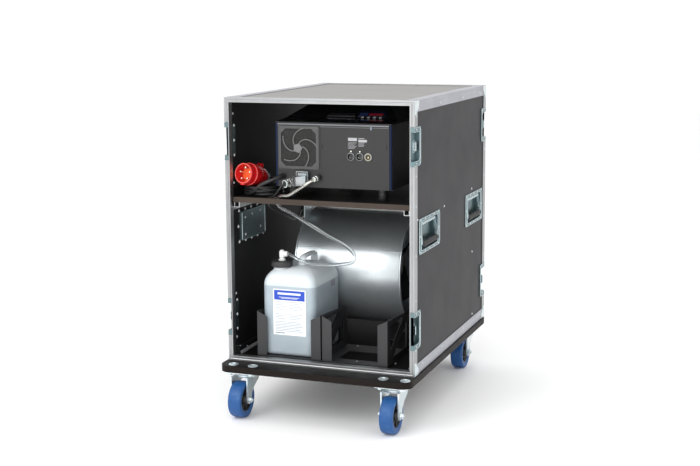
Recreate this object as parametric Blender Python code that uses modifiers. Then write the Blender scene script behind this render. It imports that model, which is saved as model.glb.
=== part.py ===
"""A fog machine in an open flight case on a castor board.

Metres, +Z up, +X to the right, +Y to the back. The origin is on the floor, under the middle
of the whole object. A fan tube and a rack with a fluid canister stand under the shelf, and
the machine stands on it.
"""

import math

import bmesh
import bpy
from mathutils import Matrix, Vector

GAP = 0.0003

BOARD_X = 0.275
BOARD_FRONT = -0.3855
BOARD_BACK = 0.413
BOARD_LOW = 0.128
BOARD_HIGH = 0.146
BOARD_CORNER = 0.030

SWIVEL_X = 0.2175
SWIVEL_YS = {"f": -0.325, "r": 0.353}
FORK_FOOT = 0.012
TRAIL = 0.038
WHEEL_R = 0.050
WHEEL_HALF = 0.019
AXLE_R = 0.006
PLATE_HIGH = BOARD_LOW - GAP
RACEWAY_LOW = PLATE_HIGH - 0.012
FORK_HIGH = RACEWAY_LOW - GAP

CASE_X = 0.270
CASE_FRONT = -0.327
CASE_BACK = 0.403
CASE_LOW = BOARD_HIGH + GAP
CASE_HIGH = 0.876
CASE_MID_Y = (CASE_FRONT + CASE_BACK) / 2
SKIN = 0.002
PANEL = 0.009
RIM_WEB = 0.0136
PANEL_X = CASE_X - SKIN - GAP
PANEL_LOW = CASE_LOW + SKIN + GAP
PANEL_HIGH = CASE_HIGH - SKIN - GAP
PANEL_FRONT = CASE_FRONT + SKIN + GAP
PANEL_BACK = CASE_BACK - SKIN - GAP
WALL = PANEL_X - PANEL
FLOOR = PANEL_LOW + PANEL

LATCH_HEIGHTS = {"lower": 0.2695, "upper": 0.7563}
LATCH_FLANGE = 0.102
LATCH_DEPTH = 0.052
LATCH_POCKET = 0.076
LATCH_POCKET_DEPTH = 0.044
DISH_SHEET = 0.0012

HANDLE_YS = {"front": -0.1885, "rear": 0.272}
HANDLE_Z = 0.514
HANDLE_FLANGE = (0.190, 0.096)
HANDLE_POCKET = (0.152, 0.078)
HANDLE_FLOOR = 0.252
HINGE_X = 0.262
HINGE_Z = 0.545
GRIP_X = 0.268
GRIP_Z = 0.490
GRIP_R = 0.008

SHELF_LOW = 0.588
SHELF_HIGH = 0.603
SHELF_X = 0.2545
SHELF_FRONT = -0.312
SHELF_BACK = 0.370

RACK_FRONT = -0.297
RACK_BACK = -0.107
RACK_HIGH = 0.285
RACK_SHEET = 0.002
RACK_LAP = 0.0004
BAY_WIDTH = 0.188
BAY_LEFTS = (-0.1955, -0.003)
RACK_FLANGE = 0.028

TUBE_Y = 0.088
TUBE_Z = 0.356
TUBE_R = 0.166
TUBE_LEFT = -0.175
TUBE_RIGHT = 0.150

BODY_LEFT = -0.134
BODY_RIGHT = 0.196
BODY_FRONT = -0.285
BODY_BACK = 0.267
BODY_LOW = 0.635
BODY_HIGH = 0.808
BODY_MID_X = (BODY_LEFT + BODY_RIGHT) / 2
FRONT_Y = -0.293
BROW_HIGH = 0.818
BROW_BACK = -0.224
ROOF_HIGH = 0.855
HOOD_SHEET = 0.0015
FAN_X = -0.066
FAN_Z = 0.7425
BUTTON_XS = (0.090, 0.107, 0.124, 0.141)
BUTTON_Y = -0.2205
BUTTON_Z = 0.8198
BUTTON_R = 0.0045
SLOPE_NORMAL = (0.0, -0.4603, 0.8878)

CANISTER_LOW = FLOOR + 2 * GAP + RACK_SHEET
CANISTER_X = (-0.186, -0.030)
CANISTER_Y = (-0.284, -0.0835)
CANISTER_SHOULDER = 0.356
CANISTER_HIGH = 0.4025
CAP_X = -0.1435
CAP_Y = -0.238
CAP_LOW = 0.4032
CAP_HIGH = 0.4195
ARM_Z = 0.438

COIL_X = -0.1965
COIL_Y = -0.235
COIL_INNER = 0.038
COIL_OUTER = 0.056
COIL_LOW = SHELF_HIGH + GAP
COIL_HIGH = COIL_LOW + 0.0265
CABLE_R = 0.0045
CONTROL_R = 0.0025
GLAND = (-0.1136, FRONT_Y, 0.6632)
HOSE_BOSS = (-0.0096, FRONT_Y, 0.6628)
PLUG_FACE = (-0.2282, -0.302, 0.6675)
PLUG_AXIS = (0.183, 0.963, -0.197)
LEVER_Y = -0.303
LEVER_Z = 0.6565

POWER_ROUTE = (
    (-0.1136, -0.2905, 0.6632), (-0.1136, -0.3035, 0.6632), (-0.1147, -0.3121, 0.6627),
    (-0.1180, -0.3202, 0.6614), (-0.1232, -0.3272, 0.6593), (-0.1300, -0.3326, 0.6565),
    (-0.1380, -0.3361, 0.6532), (-0.1466, -0.3375, 0.6494), (-0.1553, -0.3366, 0.6453),
    (-0.1634, -0.3336, 0.6409), (-0.1706, -0.3286, 0.6365), (-0.1796, -0.3204, 0.6302),
    (-0.1886, -0.3121, 0.6242), (-0.1976, -0.3039, 0.6187), (-0.2066, -0.2956, 0.6140),
)
CONTROL_ROUTE = (
    (-0.0846, -0.3552, 0.6512), (-0.0890, -0.3560, 0.6470), (-0.0960, -0.3530, 0.6400),
    (-0.1040, -0.3460, 0.6320), (-0.1125, -0.3360, 0.6250), (-0.1220, -0.3250, 0.6180),
    (-0.1320, -0.3130, 0.6120), (-0.1410, -0.3035, 0.6060), (-0.1485, -0.2975, 0.5985),
    (-0.1545, -0.2940, 0.5900), (-0.1575, -0.2910, 0.5815), (-0.1555, -0.2850, 0.5745),
    (-0.1505, -0.2740, 0.5670), (-0.1450, -0.2580, 0.5590), (-0.1400, -0.2390, 0.5505),
    (-0.1365, -0.2170, 0.5410), (-0.1360, -0.1930, 0.5320), (-0.1385, -0.1680, 0.5250),
    (-0.1430, -0.1420, 0.5210), (-0.1490, -0.1160, 0.5200), (-0.1560, -0.0890, 0.5210),
    (-0.1640, -0.0620, 0.5230), (-0.1710, -0.0360, 0.5250), (-0.1750, -0.0140, 0.5260),
)
HOSE_ROUTE = (
    (-0.0096, -0.2950, 0.6628), (-0.0097, -0.3040, 0.6625), (-0.0108, -0.3100, 0.6612),
    (-0.0145, -0.3158, 0.6592), (-0.0205, -0.3204, 0.6558), (-0.0282, -0.3234, 0.6508),
    (-0.0368, -0.3250, 0.6450), (-0.0462, -0.3254, 0.6390), (-0.0645, -0.3240, 0.6280),
    (-0.0735, -0.3230, 0.6220), (-0.0830, -0.3210, 0.6170), (-0.0930, -0.3175, 0.6138),
    (-0.1030, -0.3130, 0.6128), (-0.1125, -0.3080, 0.6112), (-0.1208, -0.3030, 0.6080),
    (-0.1270, -0.2985, 0.6030), (-0.1305, -0.2950, 0.5965), (-0.1312, -0.2930, 0.5890),
    (-0.1288, -0.2915, 0.5818), (-0.1235, -0.2905, 0.5760), (-0.1160, -0.2895, 0.5715),
    (-0.1070, -0.2875, 0.5672), (-0.0955, -0.2835, 0.5612), (-0.0850, -0.2770, 0.5530),
    (-0.0735, -0.2700, 0.5440), (-0.0610, -0.2640, 0.5350), (-0.0480, -0.2580, 0.5260),
    (-0.0345, -0.2530, 0.5165), (-0.0205, -0.2480, 0.5070), (-0.0065, -0.2430, 0.4975),
    (0.0075, -0.2370, 0.4890), (0.0215, -0.2320, 0.4805), (0.0340, -0.2270, 0.4725),
    (0.0450, -0.2225, 0.4640), (0.0545, -0.2190, 0.4550), (0.0608, -0.2165, 0.4460),
    (0.0632, -0.2150, 0.4370), (0.0612, -0.2140, 0.4285), (0.0555, -0.2135, 0.4222),
    (0.0470, -0.2135, 0.4182), (0.0370, -0.2140, 0.4160), (0.0250, -0.2155, 0.4142),
    (0.0110, -0.2175, 0.4120), (-0.0050, -0.2205, 0.4105), (-0.0210, -0.2240, 0.4100),
    (-0.0370, -0.2270, 0.4105), (-0.0530, -0.2300, 0.4120), (-0.0690, -0.2330, 0.4150),
    (-0.0840, -0.2355, 0.4195), (-0.0980, -0.2370, 0.4255), (-0.1110, -0.2378, 0.4325),
    (-0.1225, -0.2380, 0.4374), (-0.1330, -0.2380, 0.4380),
)

FINISHES = {
    "board_ply": ((0.045, 0.038, 0.035), 0.0, 0.55),
    "zinc": ((0.62, 0.65, 0.67), 0.9, 0.38),
    "caster_blue": ((0.03, 0.13, 0.40), 0.0, 0.45),
    "rim_aluminium": ((0.72, 0.73, 0.75), 0.95, 0.32),
    "panel_grey": ((0.10, 0.10, 0.115), 0.0, 0.5),
    "panel_top": ((0.45, 0.46, 0.48), 0.0, 0.5),
    "dish_zinc": ((0.48, 0.56, 0.58), 0.9, 0.35),
    "grip_rubber": ((0.02, 0.02, 0.02), 0.0, 0.6),
    "shelf_board": ((0.10, 0.085, 0.075), 0.0, 0.55),
    "rack_black": ((0.03, 0.03, 0.032), 0.2, 0.45),
    "duct_galvanised": ((0.35, 0.40, 0.45), 0.85, 0.4),
    "motor_black": ((0.03, 0.03, 0.03), 0.3, 0.5),
    "machine_grey": ((0.09, 0.09, 0.10), 0.2, 0.45),
    "hood_gloss": ((0.012, 0.012, 0.014), 0.0, 0.15),
    "heater_steel": ((0.5, 0.48, 0.45), 0.9, 0.4),
    "pump_brass": ((0.6, 0.45, 0.2), 0.9, 0.35),
    "fan_black": ((0.02, 0.02, 0.022), 0.0, 0.45),
    "button_cream": ((0.75, 0.74, 0.70), 0.0, 0.35),
    "canister_white": ((0.72, 0.76, 0.78), 0.0, 0.35),
    "cap_grey": ((0.04, 0.042, 0.045), 0.0, 0.45),
    "elbow_white": ((0.85, 0.85, 0.84), 0.0, 0.3),
    "plug_red": ((0.55, 0.01, 0.02), 0.0, 0.35),
    "cable_black": ((0.015, 0.015, 0.015), 0.0, 0.5),
    "connector_metal": ((0.45, 0.46, 0.47), 0.8, 0.45),
    "hose_clear": ((0.6, 0.63, 0.65), 0.0, 0.2),
}


# ---- helpers ---------------------------------------------------------------------------


def clear_scene():
    for item in list(bpy.data.objects):
        bpy.data.objects.remove(item)


def make_collection(name):
    group = bpy.data.collections.new(name)
    bpy.context.scene.collection.children.link(group)
    return group


def make_material(name):
    color, metallic, roughness = FINISHES[name]
    material = bpy.data.materials.new(name)
    material.use_nodes = True
    shader = material.node_tree.nodes["Principled BSDF"]
    shader.inputs["Base Color"].default_value = (*color, 1.0)
    shader.inputs["Metallic"].default_value = metallic
    shader.inputs["Roughness"].default_value = roughness
    material.diffuse_color = (*color, 1.0)
    return material


def new_object(data):
    item = bpy.data.objects.new("draft", data)
    PARTS.objects.link(item)
    return item


def from_bmesh(shape):
    mesh = bpy.data.meshes.new("draft")
    shape.to_mesh(mesh)
    shape.free()
    return new_object(mesh)


def as_mesh(item):
    """The item as its modifiers or its curve make it, with loose caps welded."""
    graph = bpy.context.evaluated_depsgraph_get()
    mesh = bpy.data.meshes.new_from_object(item.evaluated_get(graph))
    solid = new_object(mesh)
    solid.matrix_world = item.matrix_world
    bpy.data.objects.remove(item)
    shape = bmesh.new()
    shape.from_mesh(mesh)
    bmesh.ops.remove_doubles(shape, verts=shape.verts, dist=0.00001)
    bmesh.ops.recalc_face_normals(shape, faces=shape.faces)
    shape.to_mesh(mesh)
    shape.free()
    return solid


def box(low, high):
    low = Vector(low)
    high = Vector(high)
    place = Matrix.Translation((low + high) / 2) @ Matrix.Diagonal((*(high - low), 1.0))
    shape = bmesh.new()
    bmesh.ops.create_cube(shape, size=1.0, matrix=place)
    return from_bmesh(shape)


def rod(start, end, radius, sides=16, end_radius=None):
    start = Vector(start)
    along = Vector(end) - start
    turn = along.to_track_quat("Z", "Y").to_matrix().to_4x4()
    place = Matrix.Translation(start + along / 2) @ turn
    shape = bmesh.new()
    bmesh.ops.create_cone(
        shape, cap_ends=True, segments=sides, radius1=radius,
        radius2=radius if end_radius is None else end_radius, depth=along.length, matrix=place,
    )
    return from_bmesh(shape)


def turned(profile, origin, axis, sides, ring=False):
    """A profile of (radius, height) turned about an axis. It runs down its outer side."""
    shape = bmesh.new()
    points = [shape.verts.new((radius, 0.0, height)) for radius, height in profile]
    for first, second in zip(points, points[1:]):
        shape.edges.new((first, second))
    if ring:
        shape.edges.new((points[-1], points[0]))
    item = from_bmesh(shape)
    screw = item.modifiers.new("turn", "SCREW")
    screw.steps = sides
    screw.render_steps = sides
    screw.use_merge_vertices = True
    screw.merge_threshold = 0.00001
    turn = Vector(axis).to_track_quat("Z", "Y").to_matrix().to_4x4()
    if Vector(axis).normalized() == Vector((1.0, 0.0, 0.0)):
        turn = Matrix.Rotation(math.radians(90), 4, "Y")
    solid = as_mesh(item)
    return moved(solid, Matrix.Translation(origin) @ turn)


def sheet(outlines, plane, low, high):
    """Flat outlines, the first one solid and the others holes, thickened across their plane."""
    curve = bpy.data.curves.new("draft", "CURVE")
    curve.dimensions = "2D"
    curve.fill_mode = "BOTH"
    curve.extrude = (high - low) / 2
    for outline in outlines:
        spline = curve.splines.new("POLY")
        spline.points.add(len(outline) - 1)
        spline.use_cyclic_u = True
        for point, (across, up) in zip(spline.points, outline):
            point.co = (across, up, 0.0, 1.0)
    solid = as_mesh(new_object(curve))
    turns = {
        "XY": Matrix.Identity(4),
        "XZ": Matrix.Rotation(math.radians(90), 4, "X"),
        "YZ": Matrix(((0, 0, 1, 0), (1, 0, 0, 0), (0, 1, 0, 0), (0, 0, 0, 1))),
    }
    shifts = {"XY": (0, 0, 1), "XZ": (0, 1, 0), "YZ": (1, 0, 0)}
    middle = Vector(shifts[plane]) * (low + high) / 2
    return moved(solid, Matrix.Translation(middle) @ turns[plane])


def tube(route, radius, resolution=2):
    """A round cord or wire along its points."""
    curve = bpy.data.curves.new("draft", "CURVE")
    curve.dimensions = "3D"
    curve.bevel_depth = radius
    curve.bevel_resolution = resolution
    curve.use_fill_caps = True
    spline = curve.splines.new("POLY")
    spline.points.add(len(route) - 1)
    for point, place in zip(spline.points, route):
        point.co = (*place, 1.0)
    return as_mesh(new_object(curve))


def loft(rings):
    """A skin through rings of equal count, closed at both ends."""
    shape = bmesh.new()
    rows = [[shape.verts.new(point) for point in ring] for ring in rings]
    count = len(rows[0])
    for low, high in zip(rows, rows[1:]):
        for step in range(count):
            after = (step + 1) % count
            shape.faces.new((low[step], low[after], high[after], high[step]))
    shape.faces.new(rows[0])
    shape.faces.new(rows[-1])
    bmesh.ops.recalc_face_normals(shape, faces=shape.faces)
    return from_bmesh(shape)


def moved(item, matrix):
    item.data.transform(matrix)
    if matrix.determinant() < 0:
        item.data.flip_normals()
    return item


def boolean(item, other, operation):
    modifier = item.modifiers.new("shape", "BOOLEAN")
    modifier.operation = operation
    modifier.solver = "EXACT"
    modifier.object = other
    graph = bpy.context.evaluated_depsgraph_get()
    mesh = bpy.data.meshes.new_from_object(item.evaluated_get(graph))
    item.modifiers.clear()
    item.data = mesh
    bpy.data.objects.remove(other)
    return item


def cut(item, *others):
    for other in others:
        boolean(item, other, "DIFFERENCE")
    return item


def join(item, *others):
    for other in others:
        boolean(item, other, "UNION")
    return item


def finish(item, name, material, origin=(0.0, 0.0, 0.0)):
    """Names the item, gives it its material and puts its origin on its joint."""
    item.name = name
    item.data.name = name
    item.data.materials.clear()
    item.data.materials.append(MATERIALS[material])
    item.data.transform(Matrix.Translation(-Vector(origin)))
    item.location = origin
    item.data.shade_smooth()
    item.data.set_sharp_from_angle(angle=math.radians(32))
    return item


def rounded(x_range, y_range, radius, steps):
    """The points of a rectangle with round corners, anticlockwise."""
    low_x, high_x = x_range
    low_y, high_y = y_range
    corners = (
        (high_x - radius, high_y - radius, 0), (low_x + radius, high_y - radius, 90),
        (low_x + radius, low_y + radius, 180), (high_x - radius, low_y + radius, 270),
    )
    points = []
    for mid_x, mid_y, start in corners:
        for step in range(steps + 1):
            angle = math.radians(start + 90 * step / steps)
            points.append((mid_x + radius * math.cos(angle), mid_y + radius * math.sin(angle)))
    return points


def circle(mid, radius, count):
    turns = [2 * math.pi * step / count for step in range(count)]
    return [(mid[0] + radius * math.cos(t), mid[1] + radius * math.sin(t)) for t in turns]


# ---- board and castors -----------------------------------------------------------------


def base_board():
    outline = rounded((-BOARD_X, BOARD_X), (BOARD_FRONT, BOARD_BACK), BOARD_CORNER, 5)
    return finish(sheet([outline], "XY", BOARD_LOW, BOARD_HIGH), "base_board", "board_ply")


def caster_plate(name, x, y):
    plate = box((x - 0.0425, y - 0.0525, PLATE_HIGH - 0.004), (x + 0.0425, y + 0.0525, PLATE_HIGH))
    raceway = rod((x, y, RACEWAY_LOW), (x, y, PLATE_HIGH - 0.002), 0.030, 20)
    bore = rod((x, y, RACEWAY_LOW - 0.01), (x, y, PLATE_HIGH + 0.01), 0.0056, 12)
    finish(cut(join(plate, raceway), bore), "caster_plate_" + name, "zinc")


def caster_fork(name, x, y):
    """A crown under the swivel bearing with two deep cheeks that taper to the axle."""
    fork = rod((x, y, FORK_HIGH - 0.009), (x, y, FORK_HIGH), 0.031, 16)
    top = FORK_HIGH - 0.002
    axle_y = y - TRAIL
    front = axle_y - FORK_FOOT
    for side in (-1, 1):
        outline = [(y + 0.036, top), (front - 0.001, top)]
        outline += [(axle_y + FORK_FOOT * math.cos(a), WHEEL_R + FORK_FOOT * math.sin(a))
                    for a in [math.radians(180 + 45 * step) for step in range(5)]]
        outline += [(axle_y + 0.017, WHEEL_R + 0.018), (y - 0.004, WHEEL_R + 0.032), (y + 0.021, WHEEL_R + 0.044)]
        near = x + side * 0.022
        far = x + side * 0.026
        join(fork, sheet([outline], "YZ", min(near, far), max(near, far)))
    axle = rod((x - 0.028, axle_y, WHEEL_R), (x + 0.028, axle_y, WHEEL_R), AXLE_R, 10)
    pin = rod((x, y, FORK_HIGH - 0.004), (x, y, PLATE_HIGH - 0.001), 0.005, 8)
    join(fork, axle, pin)
    finish(fork, "caster_fork_" + name, "zinc", (x, y, FORK_HIGH))


def caster_wheel(name, x, y):
    half = WHEEL_HALF
    bore = AXLE_R + 0.0005
    profile = (
        (0.015, half + 0.0025), (0.019, half - 0.006), (0.034, half - 0.006), (0.045, half),
        (WHEEL_R, half - 0.006), (WHEEL_R, 0.006 - half), (0.045, -half), (0.034, 0.006 - half),
        (0.019, 0.006 - half), (0.015, -half - 0.0025),
        (bore, -half - 0.0025), (bore, half + 0.0025),
    )
    centre = (x, y - TRAIL, WHEEL_R)
    wheel = turned(profile, centre, (1, 0, 0), 20, ring=True)
    finish(wheel, "caster_wheel_" + name, "caster_blue", centre)


def castors():
    for end, y in SWIVEL_YS.items():
        for side, sign in (("l", -1), ("r", 1)):
            caster_plate(end + side, sign * SWIVEL_X, y)
            caster_fork(end + side, sign * SWIVEL_X, y)
            caster_wheel(end + side, sign * SWIVEL_X, y)


# ---- flight case -----------------------------------------------------------------------


def latch_places():
    for end, forward in (("front", 1), ("rear", -1)):
        for side, sign in (("left", -1), ("right", 1)):
            for level, height in LATCH_HEIGHTS.items():
                yield f"{end}_{side}_{level}", sign, forward, height


def case_edge_box(sign, forward, low, high):
    """A box given for the front right edge, with Y from the front face, put at any edge."""
    place = Matrix.Translation((0, CASE_MID_Y, 0)) @ Matrix.Diagonal((sign, forward, 1, 1))
    shift = Vector((0, CASE_FRONT - CASE_MID_Y, 0))
    return moved(box(Vector(low) + shift, Vector(high) + shift), place)


def edge_frame():
    """The aluminium edging: a closed skin with a window cut in each face."""
    leg = 0.026
    frame = box((-CASE_X, CASE_FRONT, CASE_LOW), (CASE_X, CASE_BACK, CASE_HIGH))
    hollow = box(
        (SKIN - CASE_X, CASE_FRONT + SKIN, CASE_LOW + SKIN),
        (CASE_X - SKIN, CASE_BACK - SKIN, CASE_HIGH - SKIN),
    )
    through_y = box(
        (RIM_WEB - CASE_X, CASE_FRONT - 0.01, CASE_LOW + RIM_WEB),
        (CASE_X - RIM_WEB, CASE_BACK + 0.01, CASE_HIGH - RIM_WEB),
    )
    through_x = box(
        (-CASE_X - 0.01, CASE_FRONT + leg, CASE_LOW + 0.030),
        (CASE_X + 0.01, CASE_BACK - leg, CASE_HIGH - 0.030),
    )
    through_z = box(
        (0.030 - CASE_X, CASE_FRONT + 0.030, CASE_LOW - 0.01),
        (CASE_X - 0.030, CASE_BACK - 0.030, CASE_HIGH + 0.01),
    )
    cut(frame, hollow, through_y, through_x, through_z)
    half = LATCH_FLANGE / 2 + GAP
    for _, sign, forward, height in latch_places():
        low = (WALL - 0.0002, -0.01, height - half)
        high = (CASE_X + 0.01, LATCH_DEPTH + GAP, height + half)
        cut(frame, case_edge_box(sign, forward, low, high))
    finish(frame, "edge_frame", "rim_aluminium")


def side_panel(name, sign):
    inner, outer = sorted((sign * WALL, sign * PANEL_X))
    panel = box((inner, PANEL_FRONT, PANEL_LOW), (outer, PANEL_BACK, PANEL_HIGH))
    half = LATCH_POCKET / 2 + DISH_SHEET + GAP
    for _, side, forward, height in latch_places():
        if side == sign:
            low = (WALL - 0.01, -0.01, height - half)
            high = (PANEL_X + 0.01, LATCH_POCKET_DEPTH + DISH_SHEET + GAP, height + half)
            cut(panel, case_edge_box(sign, forward, low, high))
    wide = HANDLE_POCKET[0] / 2 + 0.002
    tall = HANDLE_POCKET[1] / 2 + 0.002
    for y in HANDLE_YS.values():
        low = (inner - 0.01, y - wide, HANDLE_Z - tall)
        high = (outer + 0.01, y + wide, HANDLE_Z + tall)
        cut(panel, box(low, high))
    finish(panel, name, "panel_grey")


def case_panels():
    side_panel("panel_left", -1)
    side_panel("panel_right", 1)
    reach = WALL - GAP
    top = box((-reach, PANEL_FRONT, PANEL_HIGH - PANEL), (reach, PANEL_BACK, PANEL_HIGH))
    finish(top, "panel_top", "panel_top")
    bottom = box((-reach, PANEL_FRONT, PANEL_LOW), (reach, PANEL_BACK, FLOOR))
    finish(bottom, "panel_bottom", "panel_grey")


def latch_dish(name, sign, forward, height):
    """A half dish let into an upright edge, open to the side and to the end of the case."""
    flange = LATCH_FLANGE / 2
    half = LATCH_POCKET / 2
    back = WALL + 0.0001
    parts = (
        ((PANEL_X + GAP, 0.0, -flange), (CASE_X, LATCH_DEPTH, flange)),
        ((back, 0.0, -flange), (CASE_X, SKIN, flange)),
        ((back, 0.0, -half - DISH_SHEET), (CASE_X, LATCH_POCKET_DEPTH + DISH_SHEET, half + DISH_SHEET)),
    )
    lift = Vector((0, 0, height))
    shapes = [case_edge_box(sign, forward, Vector(a) + lift, Vector(b) + lift) for a, b in parts]
    dish = join(*shapes)
    floor = back + DISH_SHEET
    low = Vector((floor, -0.01, -half)) + lift
    high = Vector((CASE_X + 0.02, LATCH_POCKET_DEPTH, half)) + lift
    cut(dish, case_edge_box(sign, forward, low, high))
    keeper_low = Vector((floor - 0.0005, 0.014, -0.013)) + lift
    keeper_high = Vector((floor + 0.006, 0.026, 0.013)) + lift
    join(dish, case_edge_box(sign, forward, keeper_low, keeper_high))
    finish(dish, "latch_dish_" + name, "dish_zinc")


def latch_dishes():
    for name, sign, forward, height in latch_places():
        latch_dish(name, sign, forward, height)


def handle_dish(name, sign, y):
    wide, tall = HANDLE_FLANGE[0] / 2, HANDLE_FLANGE[1] / 2
    deep, high = HANDLE_POCKET[0] / 2, HANDLE_POCKET[1] / 2
    face = PANEL_X + GAP
    back = HANDLE_FLOOR - DISH_SHEET
    dish = box((face, -wide, -tall), (face + DISH_SHEET, wide, tall))
    pocket = box(
        (back, -deep - DISH_SHEET, -high - DISH_SHEET),
        (face + DISH_SHEET / 2, deep + DISH_SHEET, high + DISH_SHEET),
    )
    join(dish, pocket)
    cut(dish, box((HANDLE_FLOOR, -deep, -high), (face + 0.02, deep, high)))
    hinge = HINGE_Z - HANDLE_Z
    holes = rod((HINGE_X, -deep - 0.01, hinge), (HINGE_X, deep + 0.01, hinge), 0.0034, 12)
    cut(dish, holes)
    mirror = Matrix.Diagonal((sign, 1, 1, 1))
    moved(dish, Matrix.Translation((0, y, HANDLE_Z)) @ mirror)
    finish(dish, "handle_dish_" + name, "dish_zinc")


def handle_bail(name, sign, y):
    """The lift bar: two arms and a rubber grip, on pins in the ends of the dish."""
    deep = HANDLE_POCKET[0] / 2
    grip = rod((GRIP_X, -0.068, GRIP_Z), (GRIP_X, 0.068, GRIP_Z), GRIP_R, 14)
    for end in (-1, 1):
        near, far = sorted((end * 0.067, end * 0.073))
        arm = [
            (HINGE_X - 0.004, HINGE_Z + 0.004), (HINGE_X - 0.004, HINGE_Z - 0.006),
            (GRIP_X - 0.005, GRIP_Z - 0.004), (GRIP_X + 0.005, GRIP_Z - 0.004),
            (HINGE_X + 0.004, HINGE_Z - 0.006), (HINGE_X + 0.004, HINGE_Z + 0.004),
        ]
        join(grip, sheet([arm], "XZ", near, far))
        tip = end * (deep + DISH_SHEET + GAP)
        join(grip, rod((HINGE_X, end * 0.070, HINGE_Z), (HINGE_X, tip, HINGE_Z), 0.003, 12))
    moved(grip, Matrix.Translation((0, y, 0)) @ Matrix.Diagonal((sign, 1, 1, 1)))
    finish(grip, "handle_bail_" + name, "grip_rubber", (sign * HINGE_X, y, HINGE_Z))


def handles():
    for end, y in HANDLE_YS.items():
        for side, sign in (("left", -1), ("right", 1)):
            handle_dish(f"{end}_{side}", sign, y)
            handle_bail(f"{end}_{side}", sign, y)


def shelf():
    """The shelf board on two aluminium channels, with a slot for the cords."""
    shelf_board = box((-SHELF_X, SHELF_FRONT, SHELF_LOW), (SHELF_X, SHELF_BACK, SHELF_HIGH))
    cut(shelf_board, box((-0.160, -0.307, SHELF_LOW - 0.01), (-0.120, -0.281, SHELF_HIGH + 0.01)))
    top = SHELF_LOW + 0.0005
    rail = (
        (0.2358, top), (0.2358, 0.5745), (0.2566, 0.5745), (0.2566, 0.566), (0.2584, 0.566),
        (0.2584, 0.5761), (0.2518, 0.5761), (0.2518, top), (0.2500, top), (0.2500, 0.5761),
        (0.2376, 0.5761), (0.2376, top),
    )
    for sign in (-1, 1):
        outline = [(sign * x, z) for x, z in rail]
        join(shelf_board, sheet([outline], "XZ", SHELF_FRONT, SHELF_BACK))
    finish(shelf_board, "shelf", "shelf_board")


# ---- lower compartment -----------------------------------------------------------------


def rack_side(x):
    """A side plate with two triangular openings and a diagonal bar between them."""
    low = FLOOR + GAP + RACK_LAP
    front, back = RACK_FRONT, RACK_BACK
    outline = [(front, low), (back, low), (back, RACK_HIGH - 0.014), (front, RACK_HIGH)]
    upper = [(front + 0.025, 0.268), (front + 0.025, 0.197), (back - 0.051, 0.268)]
    lower = [(back - 0.025, 0.175), (back - 0.025, 0.246), (front + 0.051, 0.175)]
    return sheet([outline, upper, lower], "YZ", x, x + RACK_SHEET)


def canister_rack():
    low = FLOOR + GAP
    left, right = BAY_LEFTS[0] + RACK_LAP, BAY_LEFTS[1] + BAY_WIDTH - RACK_LAP
    front, back = RACK_FRONT + RACK_LAP, RACK_BACK - RACK_LAP
    tray_outline = [(left, front), (right, front), (right, back), (left, back)]
    holes = [rounded((x + 0.033, x + 0.158), (-0.259, -0.172), 0.010, 3) for x in BAY_LEFTS]
    rack = sheet([tray_outline] + holes, "XY", low, low + RACK_SHEET)
    for x in BAY_LEFTS:
        end = x + BAY_WIDTH
        for place in (x, end - RACK_SHEET):
            join(rack, rack_side(place))
        for near, far in ((x, x + RACK_FLANGE), (end, end - RACK_FLANGE)):
            near += math.copysign(RACK_LAP, far - near)
            outline = [(near, low + RACK_LAP), (far, low + RACK_LAP), (far, 0.271), (near, RACK_HIGH - 0.001)]
            join(rack, sheet([outline], "XZ", RACK_FRONT + RACK_LAP / 2, RACK_FRONT + RACK_SHEET))
    finish(rack, "canister_rack", "rack_black")


def fan_tube():
    rim = 0.004
    inner = TUBE_R - 0.002
    profile = (
        (TUBE_R + rim, TUBE_RIGHT), (TUBE_R + rim, TUBE_RIGHT - rim), (TUBE_R, TUBE_RIGHT - 0.006),
        (TUBE_R, TUBE_LEFT + 0.006), (TUBE_R + rim, TUBE_LEFT + rim), (TUBE_R + rim, TUBE_LEFT),
        (inner, TUBE_LEFT), (inner, TUBE_RIGHT),
    )
    duct = turned(profile, (0, TUBE_Y, TUBE_Z), (1, 0, 0), 36, ring=True)
    low = FLOOR + GAP
    for x in (-0.120, 0.095):
        foot = box((x - 0.0015, TUBE_Y - 0.105, low), (x + 0.0015, TUBE_Y + 0.105, 0.232))
        base = box((x - 0.015, TUBE_Y - 0.105, low), (x + 0.015, TUBE_Y + 0.105, low + 0.003))
        foot = join(foot, base)
        cut(foot, rod((x - 0.05, TUBE_Y, TUBE_Z), (x + 0.05, TUBE_Y, TUBE_Z), TUBE_R - 0.001, 36))
        join(duct, foot)
    bracket = [(0.0, 0.499), (0.040, 0.515), (0.040, 0.542), (0.0, 0.542)]
    join(duct, sheet([bracket], "YZ", TUBE_LEFT + 0.0005, TUBE_LEFT + 0.0035))
    finish(duct, "fan_tube", "duct_galvanised")


def fan_motor():
    """The motor in the middle of the tube, on three arms."""
    motor = rod((-0.060, TUBE_Y, TUBE_Z), (0.050, TUBE_Y, TUBE_Z), 0.045, 20)
    reach = 0.1625
    for step in range(3):
        arm = box((-0.022, -0.010, 0.040), (-0.018, 0.010, reach))
        turn = Matrix.Rotation(math.radians(90 + 120 * step), 4, "X")
        join(motor, moved(arm, Matrix.Translation((0, TUBE_Y, TUBE_Z)) @ turn))
    join(motor, rod((0.045, TUBE_Y, TUBE_Z), (0.092, TUBE_Y, TUBE_Z), 0.005, 12))
    finish(motor, "fan_motor", "motor_black")


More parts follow.
